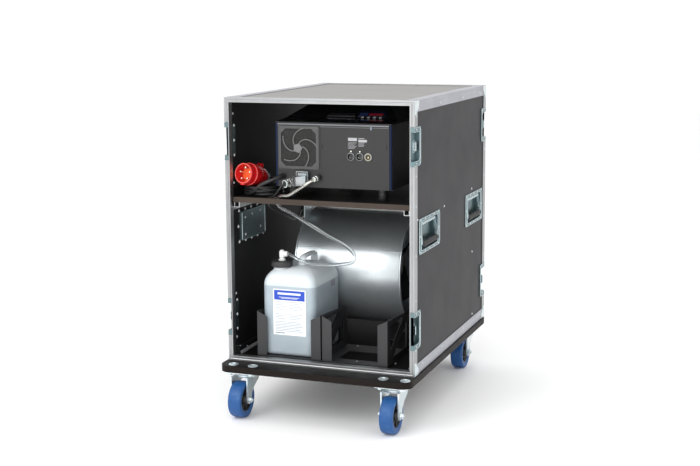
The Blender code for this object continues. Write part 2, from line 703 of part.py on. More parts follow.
def tube_impeller():
    centre = (0.078, TUBE_Y, TUBE_Z)
    bore = 0.0056
    hub = turned(((0.030, 0.016), (0.030, -0.018), (bore, -0.018), (bore, 0.016)),
                 centre, (1, 0, 0), 20, ring=True)
    for step in range(5):
        blade = box((-0.0013, -0.032, 0.026), (0.0013, 0.032, 0.152))
        pitch = Matrix.Rotation(math.radians(38), 4, "Z")
        turn = Matrix.Rotation(math.radians(72 * step), 4, "X")
        join(hub, moved(blade, Matrix.Translation(centre) @ turn @ pitch))
    finish(hub, "tube_impeller", "motor_black", centre)


def canister_ring(height, inset):
    near_x, far_x = CANISTER_X
    near_y, far_y = CANISTER_Y
    ring = rounded((near_x + inset, far_x - inset), (near_y + inset, far_y - inset), 0.020, 3)
    return [(x, y, height) for x, y in ring]


def canister_form(wall):
    """The rounded form of the canister, shrunk by a wall on every side."""
    rise = CANISTER_HIGH - CANISTER_SHOULDER
    rings = [canister_ring(CANISTER_LOW + wall, 0.005 + wall)]
    rings.append(canister_ring(CANISTER_LOW + 0.006, wall))
    for step in range(5):
        angle = math.radians(90 * step / 4)
        height = CANISTER_SHOULDER + (rise - wall) * math.sin(angle)
        rings.append(canister_ring(height, wall + (rise - wall) * (1 - math.cos(angle))))
    return loft(rings)


def canister():
    vessel = cut(canister_form(0.0), canister_form(0.0015))
    neck = rod((CAP_X, CAP_Y, 0.370), (CAP_X, CAP_Y, 0.4150), 0.0228, 24)
    join(vessel, neck)
    for low, high in ((0.4180, 0.4300), (0.3960, 0.4200)):
        ends = ((-0.205, -0.100),) if low > 0.41 else ((-0.205, -0.192), (-0.113, -0.100))
        for near, far in ends:
            join(vessel, box((-0.111, near, low), (-0.089, far, high)))
    cut(vessel, rod((CAP_X, CAP_Y, 0.340), (CAP_X, CAP_Y, 0.430), 0.0195, 24))
    finish(vessel, "canister", "canister_white")


def canister_cap():
    inner = 0.0236
    hole = 0.0083
    profile = (
        (0.0290, CAP_HIGH), (0.0305, CAP_HIGH - 0.002), (0.0305, CAP_LOW), (inner, CAP_LOW),
        (inner, CAP_HIGH - 0.003), (hole, CAP_HIGH - 0.003), (hole, CAP_HIGH),
    )
    cap = turned(profile, (CAP_X, CAP_Y, 0), (0, 0, 1), 24, ring=True)
    finish(cap, "canister_cap", "cap_grey", (CAP_X, CAP_Y, CAP_LOW))


def hose_elbow():
    """The fitting that carries the hose through the cap, with its dip tube."""
    elbow = rod((CAP_X, CAP_Y, 0.405), (CAP_X, CAP_Y, 0.449), 0.008, 14)
    join(elbow, rod((CAP_X, CAP_Y, CAP_HIGH + GAP), (CAP_X, CAP_Y, 0.4225), 0.0098, 14))
    join(elbow, rod((CAP_X, CAP_Y, 0.170), (CAP_X, CAP_Y, 0.410), 0.004, 10))
    join(elbow, rod((CAP_X, CAP_Y, ARM_Z), (CAP_X + 0.017, CAP_Y, ARM_Z), 0.0078, 14))
    bore = rod((CAP_X + 0.009, CAP_Y, ARM_Z), (CAP_X + 0.03, CAP_Y, ARM_Z), 0.0055, 14)
    finish(cut(elbow, bore), "hose_elbow", "elbow_white")


# ---- fog machine -----------------------------------------------------------------------


def machine_body():
    """The sheet body on its rubber feet, open at the front and on top."""
    body = box((BODY_LEFT, BODY_FRONT, BODY_LOW), (BODY_RIGHT, BODY_BACK, BODY_HIGH))
    wall = HOOD_SHEET
    cut(body, box(
        (BODY_LEFT + wall, BODY_FRONT - 0.01, BODY_LOW + wall),
        (BODY_RIGHT - wall, BODY_BACK - wall, BODY_HIGH + 0.01),
    ))
    cut(body, rod((BODY_MID_X, BODY_BACK - 0.01, 0.720), (BODY_MID_X, BODY_BACK + 0.01, 0.720), 0.014, 20))
    for x in (BODY_MID_X - 0.129, BODY_MID_X + 0.129):
        for y in (-0.258, 0.236):
            join(body, rod((x, y, SHELF_HIGH + GAP), (x, y, BODY_LOW + 0.001), 0.0125, 16))
    finish(body, "machine_body", "machine_grey")


def add_socket(panel, x, z):
    """A round chassis socket: a short barrel with a blind bore."""
    join(panel, rod((x, FRONT_Y - 0.0015, z), (x, FRONT_Y + 0.0065, z), 0.0105, 12))
    cut(panel, rod((x, FRONT_Y - 0.01, z), (x, FRONT_Y + 0.005, z), 0.0085, 12))


def boss(place, bore):
    x, y, z = place
    outer = rod((x, y - 0.010, z), (x, y + 0.001, z), 0.0088, 12)
    return outer, rod((x, y - 0.02, z), (x, y + 0.004, z), bore, 12)


def machine_front_panel():
    wall = HOOD_SHEET
    left, right = BODY_LEFT + 0.006, BODY_RIGHT - 0.006
    low, high = 0.636, 0.8075
    panel = box((left, FRONT_Y, low), (right, BODY_FRONT - GAP, high))
    cut(panel, box((left + wall, FRONT_Y + wall, low + wall), (right - wall, FRONT_Y + 0.03, high - wall)))
    cut(panel, rod((FAN_X, FRONT_Y - 0.01, FAN_Z), (FAN_X, FRONT_Y + 0.01, FAN_Z), 0.054, 28))
    for x, z in ((0.0035, 0.7475), (0.185, 0.750)):
        cut(panel, box((x - 0.0025, FRONT_Y - 0.01, z - 0.0055), (x + 0.0025, FRONT_Y + 0.004, z + 0.0055)))
    for x in (0.0827, 0.1077, 0.1318):
        add_socket(panel, x, 0.7227)
    for place, bore_radius in ((GLAND, 0.0057), (HOSE_BOSS, 0.0054)):
        outer, bore = boss(place, bore_radius)
        cut(join(panel, outer), bore)
    bracket_y = FRONT_Y + 0.041
    for x in (left + wall / 2, FAN_X + 0.058):
        join(panel, box((x, FRONT_Y + 0.001, FAN_Z - 0.006), (x + 0.003, bracket_y, FAN_Z + 0.006)))
    strip_low = (left + wall / 2, bracket_y - 0.003, FAN_Z - 0.006)
    join(panel, box(strip_low, (FAN_X + 0.061, bracket_y, FAN_Z + 0.006)))
    join(panel, rod((FAN_X, FRONT_Y + 0.009, FAN_Z), (FAN_X, bracket_y - 0.001, FAN_Z), 0.003, 12))
    finish(panel, "machine_front_panel", "machine_grey")


def hood_ring(x_inset, front, back, height, wall):
    left, right = BODY_LEFT + x_inset + wall, BODY_RIGHT - x_inset - wall
    front, back = front + wall, back - wall
    return [(left, front, height), (right, front, height), (right, back, height), (left, back, height)]


def hood_form(wall, base):
    """The hipped roof form, shrunk by a wall on every side."""
    roof_front = BROW_BACK + 1.929 * (ROOF_HIGH - BROW_HIGH)
    roof_back = 0.241 - 1.929 * (ROOF_HIGH - BROW_HIGH)
    roof_inset = 0.005 + 1.331 * (ROOF_HIGH - BROW_HIGH)
    return loft([
        hood_ring(0.0, FRONT_Y, BODY_BACK, base, wall),
        hood_ring(0.0, FRONT_Y, BODY_BACK, 0.8105 - wall, wall),
        hood_ring(0.005, BROW_BACK, 0.241, BROW_HIGH - wall, wall),
        hood_ring(roof_inset, roof_front, roof_back, ROOF_HIGH - wall, wall / 2),
    ])


def machine_hood():
    hood = cut(hood_form(0.0, BODY_HIGH + GAP), hood_form(HOOD_SHEET, BODY_HIGH - 0.005))
    normal = Vector(SLOPE_NORMAL)
    for x in BUTTON_XS:
        centre = Vector((x, BUTTON_Y, BUTTON_Z))
        cut(hood, rod(centre - 0.008 * normal, centre + 0.008 * normal, BUTTON_R + 0.0004, 14))
    finish(hood, "machine_hood", "hood_gloss")


def panel_buttons():
    normal = Vector(SLOPE_NORMAL)
    for number, x in enumerate(BUTTON_XS, 1):
        centre = Vector((x, BUTTON_Y, BUTTON_Z))
        button = rod(centre - 0.0052 * normal, centre + 0.0014 * normal, BUTTON_R, 14)
        stop = rod(centre - 0.0056 * normal, centre - 0.0034 * normal, BUTTON_R + 0.0014, 14)
        finish(join(button, stop), f"panel_button_{number}", "button_cream", centre)


def heater_and_nozzle():
    mid = BODY_MID_X
    heater = box((mid - 0.035, -0.040, 0.690), (mid + 0.035, 0.190, 0.750))
    join(heater, rod((mid, 0.180, 0.720), (mid, BODY_BACK + 0.014, 0.720), 0.0125, 16))
    for y in (-0.020, 0.160):
        join(heater, box((mid - 0.030, y, BODY_LOW + HOOD_SHEET + GAP), (mid + 0.030, y + 0.010, 0.700)))
    finish(heater, "heater_and_nozzle", "heater_steel")


def fluid_pump():
    pump = box((0.110, -0.180, BODY_LOW + HOOD_SHEET + GAP), (0.160, -0.110, 0.685))
    join(pump, rod((0.135, -0.115, 0.665), (0.135, -0.085, 0.665), 0.006, 12))
    finish(pump, "fluid_pump", "pump_brass")


def spiral_arm(turn):
    """One curved arm of the guard, from its hub to its rim."""
    near, far = [], []
    for step in range(7):
        radius = 0.008 + 0.048 * step / 6
        angle = turn + math.radians(75) * step / 6
        for side, points in ((-1, near), (1, far)):
            shift = side * 0.0013 / radius
            bearing = angle + shift
            points.append((FAN_X + radius * math.cos(bearing), FAN_Z + radius * math.sin(bearing)))
    return sheet([near + far[::-1]], "XZ", FRONT_Y - 0.0029, FRONT_Y - 0.0009)


def fan_guard():
    half = 0.059
    outline = rounded((FAN_X - half, FAN_X + half), (FAN_Z - half, FAN_Z + half), 0.006, 2)
    hole = circle((FAN_X, FAN_Z), 0.0545, 28)
    guard = sheet([outline, hole], "XZ", FRONT_Y - 0.0035, FRONT_Y - GAP)
    join(guard, *[spiral_arm(math.radians(72 * step + 20)) for step in range(5)])
    join(guard, rod((FAN_X, FRONT_Y - 0.0038, FAN_Z), (FAN_X, FRONT_Y - 0.0005, FAN_Z), 0.014, 20))
    finish(guard, "fan_guard", "fan_black")


def cooling_fan():
    centre = (FAN_X, FRONT_Y + 0.016, FAN_Z)
    bore = 0.0034
    profile = (
        (0.019, 0.011), (0.019, -0.012), (bore, -0.012), (bore, 0.011),
    )
    hub = turned(profile, centre, (0, 1, 0), 20, ring=True)
    for step in range(7):
        blade = box((-0.013, -0.0008, 0.017), (0.013, 0.0008, 0.049))
        pitch = Matrix.Rotation(math.radians(35), 4, "Z")
        turn = Matrix.Rotation(math.radians(360 * step / 7), 4, "Y")
        join(hub, moved(blade, Matrix.Translation(centre) @ turn @ pitch))
    finish(hub, "cooling_fan", "fan_black", centre)


# ---- cords and connectors --------------------------------------------------------------


def mains_plug():
    """The round plug of the mains cable: collar, shroud with five pins, body and gland."""
    profile = (
        (0.0122, 0.1240), (0.0145, 0.1000), (0.0255, 0.0850), (0.0265, 0.0260), (0.0300, 0.0220),
        (0.0300, 0.0), (0.0262, 0.0), (0.0255, 0.0340), (0.0, 0.0340),
    )
    bore = (0.0062, 0.1240), (0.0062, 0.1100), (0.0, 0.1100)
    # The turned solid starts in the cable's bore and ends at the bottom of the shroud.
    plug = turned(bore[::-1] + profile, PLUG_FACE, PLUG_AXIS, 20)
    axis = Vector(PLUG_AXIS).normalized()
    across = axis.cross(Vector((0, 0, 1))).normalized()
    up = across.cross(axis)
    face = Vector(PLUG_FACE)
    for step in range(5):
        angle = math.radians(90 + 72 * step)
        place = face + 0.0165 * (math.cos(angle) * across + math.sin(angle) * up)
        join(plug, rod(place + 0.036 * axis, place + 0.006 * axis, 0.0028, 8))
    lug = box((-0.009, -0.004, 0.0), (0.009, 0.004, 0.016))
    frame = Matrix((across, up, axis)).transposed().to_4x4()
    lug_place = Matrix.Translation(face + 0.0325 * up + 0.001 * axis)
    join(plug, moved(lug, lug_place @ frame))
    finish(plug, "mains_plug", "plug_red")


def power_cable():
    finish(tube(POWER_ROUTE, CABLE_R), "power_cable", "cable_black")


def cable_coil():
    edge = 0.004
    profile = (
        (COIL_OUTER - edge, COIL_HIGH), (COIL_OUTER, COIL_HIGH - edge), (COIL_OUTER, COIL_LOW + edge),
        (COIL_OUTER - edge, COIL_LOW), (COIL_INNER + edge, COIL_LOW), (COIL_INNER, COIL_LOW + edge),
        (COIL_INNER, COIL_HIGH - edge), (COIL_INNER + edge, COIL_HIGH),
    )
    coil = turned(profile, (COIL_X, COIL_Y, 0), (0, 0, 1), 28, ring=True)
    finish(coil, "cable_coil", "cable_black")


def connector_hood():
    """The metal hood of the control cable, bent to the left behind its face."""
    middle = Vector((-0.0525, 0.0, LEVER_Z))
    axis = Vector((-0.432, -0.898, -0.0815)).normalized()
    across = Vector((0, 0, 1)).cross(axis).normalized()
    up = axis.cross(across)
    corners = ((-0.013, -0.0125), (0.013, -0.0125), (0.013, 0.0125), (-0.013, 0.0125))
    rings = []
    for y in (FRONT_Y - GAP, LEVER_Y - 0.012):
        rings.append([(middle.x + x, y, middle.z + z) for x, z in corners])
    end = Vector((-0.0715, -0.3330, 0.6530))
    rings.append([end - 0.8 * a * across + 0.8 * b * up for a, b in corners])
    hood = loft(rings)
    join(hood, rod(end - 0.004 * axis, end + 0.023 * axis, 0.011, 16, 0.0095))
    join(hood, rod((-0.0702, LEVER_Y, LEVER_Z), (-0.0348, LEVER_Y, LEVER_Z), 0.002, 10))
    cut(hood, rod(end + 0.012 * axis, end + 0.05 * axis, 0.0042, 12))
    finish(hood, "connector_hood", "connector_metal")


def connector_lever():
    lever = box((-0.0695, LEVER_Y - 0.004, 0.6770), (-0.0355, LEVER_Y + 0.002, 0.6795))
    for near, far in ((-0.0695, -0.0680), (-0.0370, -0.0355)):
        arm = [
            (LEVER_Y - 0.004, 0.6780), (LEVER_Y - 0.0045, LEVER_Z - 0.002), (LEVER_Y, LEVER_Z - 0.0055),
            (LEVER_Y + 0.0045, LEVER_Z - 0.002), (LEVER_Y + 0.002, 0.6780),
        ]
        join(lever, sheet([arm], "YZ", near, far))
    cut(lever, rod((-0.09, LEVER_Y, LEVER_Z), (-0.01, LEVER_Y, LEVER_Z), 0.0024, 10))
    finish(lever, "connector_lever", "connector_metal", (-0.0525, LEVER_Y, LEVER_Z))


def control_cable():
    finish(tube(CONTROL_ROUTE, CONTROL_R), "control_cable", "cable_black")


def fluid_hose():
    finish(tube(HOSE_ROUTE, CABLE_R), "fluid_hose", "hose_clear")


clear_scene()
PARTS = make_collection("fog_machine")
MATERIALS = {name: make_material(name) for name in FINISHES}

base_board()
castors()
edge_frame()
case_panels()
latch_dishes()
handles()
shelf()
canister_rack()
fan_tube()
fan_motor()
tube_impeller()
canister()
canister_cap()
hose_elbow()
machine_body()
machine_front_panel()
machine_hood()
panel_buttons()
heater_and_nozzle()
fluid_pump()
fan_guard()
cooling_fan()
mains_plug()
power_cable()
cable_coil()
connector_hood()
connector_lever()
control_cable()
fluid_hose()
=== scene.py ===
"""Looks of the fog machine: materials, cords at their real length, and fine pieces."""

import math

import bmesh
import bpy
from mathutils import Matrix, Vector


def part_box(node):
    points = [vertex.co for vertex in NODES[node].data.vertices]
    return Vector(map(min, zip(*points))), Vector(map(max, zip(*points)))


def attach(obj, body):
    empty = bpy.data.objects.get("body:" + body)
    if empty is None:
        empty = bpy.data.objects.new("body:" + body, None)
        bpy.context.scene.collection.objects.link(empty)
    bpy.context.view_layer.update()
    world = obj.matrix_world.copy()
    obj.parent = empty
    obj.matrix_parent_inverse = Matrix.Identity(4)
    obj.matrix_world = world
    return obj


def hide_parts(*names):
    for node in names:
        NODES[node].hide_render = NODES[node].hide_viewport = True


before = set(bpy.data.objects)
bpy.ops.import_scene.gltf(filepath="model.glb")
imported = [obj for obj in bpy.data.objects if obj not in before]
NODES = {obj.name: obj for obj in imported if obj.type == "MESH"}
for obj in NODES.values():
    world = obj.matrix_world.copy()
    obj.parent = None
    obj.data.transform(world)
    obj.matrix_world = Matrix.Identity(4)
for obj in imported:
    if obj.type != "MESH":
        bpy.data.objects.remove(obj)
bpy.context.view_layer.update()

GAP = 0.0003
SIDES = {"left": -1, "right": 1}
ENDS = {"front": 1, "rear": -1}

CASE_LOW, CASE_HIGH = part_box("edge_frame")
CASE_X = CASE_HIGH.x
CASE_FRONT = CASE_LOW.y
CASE_BACK = CASE_HIGH.y
CASE_MID_Y = (CASE_FRONT + CASE_BACK) / 2
PANEL_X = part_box("panel_right")[1].x
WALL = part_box("panel_right")[0].x
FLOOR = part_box("panel_bottom")[1].z
SHELF_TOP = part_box("shelf")[1].z
BOARD_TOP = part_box("base_board")[1].z
FRONT_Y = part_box("fan_guard")[1].y + GAP


# ---- material nodes --------------------------------------------------------------------


class Surface:
    """A Principled material under construction, with short calls for its nodes."""

    def __init__(self, name, color, rough, metallic=0.0, **sockets):
        self.material = bpy.data.materials.new(name)
        self.material.use_nodes = True
        self.tree = self.material.node_tree
        self.shader = self.tree.nodes["Principled BSDF"]
        self.color = color
        self.set("Base Color", (*color, 1.0))
        self.set("Roughness", rough)
        self.set("Metallic", metallic)
        for socket, value in sockets.items():
            self.set(socket.replace("_", " "), value)
        self.coords = self.tree.nodes.new("ShaderNodeTexCoord").outputs["Object"]

    def set(self, socket, value):
        self.shader.inputs[socket].default_value = value

    def link(self, output, target):
        self.tree.links.new(output, target)

    def stretched(self, scale):
        mapping = self.tree.nodes.new("ShaderNodeMapping")
        mapping.inputs["Scale"].default_value = scale
        self.link(self.coords, mapping.inputs["Vector"])
        return mapping.outputs["Vector"]

    def noise(self, scale, detail=3.0, stretch=(1, 1, 1), rough=0.5):
        node = self.tree.nodes.new("ShaderNodeTexNoise")
        node.inputs["Scale"].default_value = scale
        node.inputs["Detail"].default_value = detail
        node.inputs["Roughness"].default_value = rough
        self.link(self.stretched(stretch), node.inputs["Vector"])
        return node.outputs["Fac"]

    def cells(self, scale, stretch=(1, 1, 1)):
        node = self.tree.nodes.new("ShaderNodeTexVoronoi")
        node.inputs["Scale"].default_value = scale
        self.link(self.stretched(stretch), node.inputs["Vector"])
        return node

    def waves(self, scale, direction, distortion=0.0):
        node = self.tree.nodes.new("ShaderNodeTexWave")
        node.bands_direction = direction
        node.inputs["Scale"].default_value = scale
        node.inputs["Distortion"].default_value = distortion
        self.link(self.coords, node.inputs["Vector"])
        return node.outputs["Fac"]

    def along(self, axis):
        split = self.tree.nodes.new("ShaderNodeSeparateXYZ")
        self.link(self.coords, split.inputs["Vector"])
        return split.outputs[axis]

    def spread(self, value, low, high, out_low=0.0, out_high=1.0):
        node = self.tree.nodes.new("ShaderNodeMapRange")
        node.inputs["From Min"].default_value = low
        node.inputs["From Max"].default_value = high
        node.inputs["To Min"].default_value = out_low
        node.inputs["To Max"].default_value = out_high
        self.link(value, node.inputs["Value"])
        return node.outputs["Result"]

    def mix(self, factor, first, second):
        node = self.tree.nodes.new("ShaderNodeMix")
        node.data_type = "RGBA"
        self.link(factor, node.inputs["Factor"])
        for socket, value in ((node.inputs[6], first), (node.inputs[7], second)):
            if isinstance(value, tuple):
                socket.default_value = (*value, 1.0)
            else:
                self.link(value, socket)
        return node.outputs[2]

    def tint(self, factor, amount):
        """The base colour, darker and lighter by an amount with a factor."""
        low = tuple(channel * (1 - amount) for channel in self.color)
        high = tuple(min(1.0, channel * (1 + amount)) for channel in self.color)
        return self.mix(factor, low, high)

    def paint(self, color_output):
        self.link(color_output, self.shader.inputs["Base Color"])
        return self

    def roughen(self, value, low, high):
        self.link(self.spread(value, 0.25, 0.75, low, high), self.shader.inputs["Roughness"])
        return self

    def bump(self, height, strength, distance=0.0004):
        node = self.tree.nodes.new("ShaderNodeBump")
        node.inputs["Strength"].default_value = strength
        node.inputs["Distance"].default_value = distance
        self.link(height, node.inputs["Height"])
        self.link(node.outputs["Normal"], self.shader.inputs["Normal"])
        return self


def brushed(name, color, rough, stretch, metallic=1.0, bump=0.03):
    """Drawn metal: fine lines along one axis, dulled and marked in places."""
    skin = Surface(name, color, rough, metallic)
    lines = skin.noise(220.0, 3.0, stretch)
    skin.paint(skin.tint(skin.noise(14.0, 5.0), 0.16))
    skin.roughen(lines, rough - 0.08, rough + 0.12)
    return skin.bump(lines, bump).material


def zinc(name, color, rough):
    """Bright zinc plating with a faint bluish bloom."""
    skin = Surface(name, color, rough, 0.95)
    bloom = skin.noise(26.0, 5.0)
    cool = (color[0] * 0.86, color[1] * 0.98, color[2] * 1.01)
    skin.paint(skin.mix(skin.spread(bloom, 0.35, 0.7), color, cool))
    skin.roughen(skin.noise(120.0, 3.0), rough - 0.08, rough + 0.12)
    return skin.bump(skin.noise(700.0, 2.0), 0.08).material


def galvanised():
    """Galvanised sheet: pale crystals of slightly different shine."""
    skin = Surface("galvanised", (0.80, 0.84, 0.86), 0.33, 0.84)
    crystals = skin.cells(70.0)
    shade = skin.mix(crystals.outputs["Color"], (0.76, 0.81, 0.84), (0.80, 0.85, 0.87))
    smudge = skin.spread(skin.noise(4.0, 3.0), 0.45, 0.75)
    skin.paint(skin.mix(smudge, shade, (0.70, 0.76, 0.80)))
    return skin.roughen(skin.noise(12.0, 3.0), 0.29, 0.36).material


def laminate(name, color, rough, amount=0.04, gloss=0.5):
    """Film-faced panel with slow changes of colour and shine."""
    skin = Surface(name, color, rough)
    skin.set("Specular IOR Level", gloss)
    skin.paint(skin.tint(skin.noise(3.0, 2.0), amount))
    return skin.roughen(skin.noise(9.0, 2.0), rough - 0.03, rough + 0.03).material


def layered(name, top, edge, low, high, plies):
    """Ply: a film on the faces and thin layers on the cut edge."""
    skin = Surface(name, top, 0.5)
    height = skin.along("Z")
    turns = skin.spread(height, low, high, 0.0, plies * math.tau)
    sine = skin.tree.nodes.new("ShaderNodeMath")
    sine.operation = "SINE"
    skin.link(turns, sine.inputs[0])
    pale = tuple(channel * 2.1 for channel in edge)
    stripes = skin.mix(skin.spread(sine.outputs[0], -0.4, 0.6), edge, pale)
    grain = skin.mix(skin.noise(90.0, 4.0, (1, 1, 6)), edge, stripes)
    normal = skin.tree.nodes.new("ShaderNodeNewGeometry").outputs["Normal"]
    split = skin.tree.nodes.new("ShaderNodeSeparateXYZ")
    skin.link(normal, split.inputs["Vector"])
    flat = skin.tree.nodes.new("ShaderNodeMath")
    flat.operation = "ABSOLUTE"
    skin.link(split.outputs["Z"], flat.inputs[0])
    facing = skin.spread(flat.outputs[0], 0.55, 0.8)
    skin.paint(skin.mix(facing, grain, skin.tint(skin.noise(12.0, 5.0), 0.20)))
    skin.set("Specular IOR Level", 0.12)
    return skin.roughen(skin.noise(30.0, 3.0), 0.45, 0.55).material


def plastic(name, color, rough, amount=0.06, pebble=900.0, bump=0.10, **sockets):
    skin = Surface(name, color, rough, **sockets)
    skin.paint(skin.tint(skin.noise(18.0, 4.0), amount))
    skin.roughen(skin.noise(70.0, 3.0), rough - 0.05, rough + 0.06)
    return skin.bump(skin.noise(pebble, 2.0), bump, 0.0002).material


def powder_coat(name, color, rough):
    skin = Surface(name, color, rough)
    skin.paint(skin.tint(skin.noise(6.0, 2.0), 0.06))
    skin.roughen(skin.noise(20.0, 2.0), rough - 0.03, rough + 0.04)
    return skin.bump(skin.noise(260.0, 2.0), 0.04, 0.0002).material


def cast_tyre():
    """Elastic blue rubber with a dusty tread and fine moulding rings."""
    skin = Surface("tyre_blue", (0.005, 0.072, 0.245), 0.48)
    dust = skin.spread(skin.noise(60.0, 6.0), 0.52, 0.75)
    skin.paint(skin.mix(dust, (0.005, 0.072, 0.245), (0.020, 0.105, 0.290)))
    skin.roughen(skin.noise(90.0, 4.0), 0.38, 0.58)
    return skin.bump(skin.noise(500.0, 3.0), 0.18).material


def canister_plastic(level):
    """Milky plastic: pale where it is empty and grey-blue where the fluid stands behind it, painted lighter
    up the shoulder as painted light and darker towards the bottom as painted shade.
    """
    skin = Surface("canister_plastic", (0.62, 0.69, 0.73), 0.34, Subsurface_Weight=0.25,
                   Subsurface_Scale=0.02, Subsurface_Radius=(1.0, 1.0, 1.0))
    wobble = skin.noise(30.0, 3.0)
    height = skin.along("Z")
    filled = skin.spread(height, level + 0.0010, level - 0.0010)
    # Painted light: the empty plastic is painted lighter up the shoulder, which faces the light.
    sky = skin.spread(height, level, level + 0.045)
    empty = skin.mix(sky, (0.60, 0.67, 0.71), (0.74, 0.79, 0.82))
    # Painted shade: the filled part is painted darker towards the bottom.
    depth = skin.spread(height, FLOOR, level)
    full = skin.mix(depth, (0.34, 0.40, 0.44), (0.38, 0.45, 0.50))
    base = skin.mix(filled, empty, full)
    skin.paint(skin.mix(skin.spread(wobble, 0.4, 0.9, 0.0, 0.25), base, (0.70, 0.76, 0.79)))
    skin.roughen(skin.noise(55.0, 4.0), 0.28, 0.42)
    return skin.bump(skin.noise(160.0, 3.0), 0.06).material


def hose_sheath(split_height):
    """Steel braid above the shelf, its cells painted pale in the middle and near-black at the rim as painted
    shine and shade, and clear tube below it, painted paler where it faces the view as a painted sheen.
    """
    skin = Surface("hose_sheath", (0.62, 0.64, 0.65), 0.16, 0.0, IOR=1.22)
    braid = skin.cells(520.0, (1, 1, 1))
    # Painted shine and shade: the braid pattern's cells are painted pale at their middles and near-black at
    # their rims.
    braid_wires_painted_light = skin.mix(braid.outputs["Distance"], (0.78, 0.76, 0.70), (0.05, 0.05, 0.05))
    # Painted sheen: the clear tube is painted paler where it faces the view and greyer towards its sides.
    edge = skin.tree.nodes.new("ShaderNodeLayerWeight")
    edge.inputs["Blend"].default_value = 0.35
    clear = skin.mix(edge.outputs["Facing"], (0.90, 0.93, 0.94), (0.62, 0.66, 0.68))
    upper = skin.spread(skin.along("Z"), split_height - 0.001, split_height + 0.001)
    skin.link(skin.spread(upper, 0.0, 1.0, 0.93, 0.0), skin.shader.inputs["Transmission Weight"])
    skin.link(skin.spread(upper, 0.0, 1.0, 0.0, 0.85), skin.shader.inputs["Metallic"])
    skin.paint(skin.mix(upper, clear, braid_wires_painted_light))
    skin.roughen(skin.noise(30.0, 2.0), 0.10, 0.16)
    skin.bump(braid.outputs["Distance"], 0.30, 0.0003)
    relief = next(node for node in skin.tree.nodes if node.bl_idname == "ShaderNodeBump")
    skin.link(skin.spread(upper, 0.0, 1.0, 0.0, 0.3), relief.inputs["Strength"])
    return skin.material


def foam():
    """Dark open filter foam, its pores painted near-black as painted shade."""
    skin = Surface("filter_foam", (0.055, 0.055, 0.058), 0.9)
    holes = skin.cells(330.0)
    grain = skin.noise(500.0, 4.0)
    # Painted shade: the pores of the open texture are painted near-black, darker than the strands.
    shade = skin.mix(holes.outputs["Distance"], (0.002, 0.002, 0.002), (0.052, 0.050, 0.048))
    skin.paint(skin.mix(grain, shade, (0.010, 0.010, 0.010)))
    return skin.bump(holes.outputs["Distance"], 0.9, 0.001).material


def glow(name, color, strength):
    skin = Surface(name, color, 0.4)
    skin.paint(skin.tint(skin.noise(300.0, 2.0), 0.1))
    skin.set("Emission Color", (*color, 1.0))
    skin.set("Emission Strength", strength)
    return skin.material


def printed(name, color, ink, scale):
    """Paper with a faint print tone."""
    skin = Surface(name, color, 0.45)
    skin.paint(skin.mix(skin.spread(skin.noise(scale, 3.0), 0.2, 0.9, 0.0, 0.35), color, ink))
    return skin.bump(skin.noise(600.0, 2.0), 0.05).material


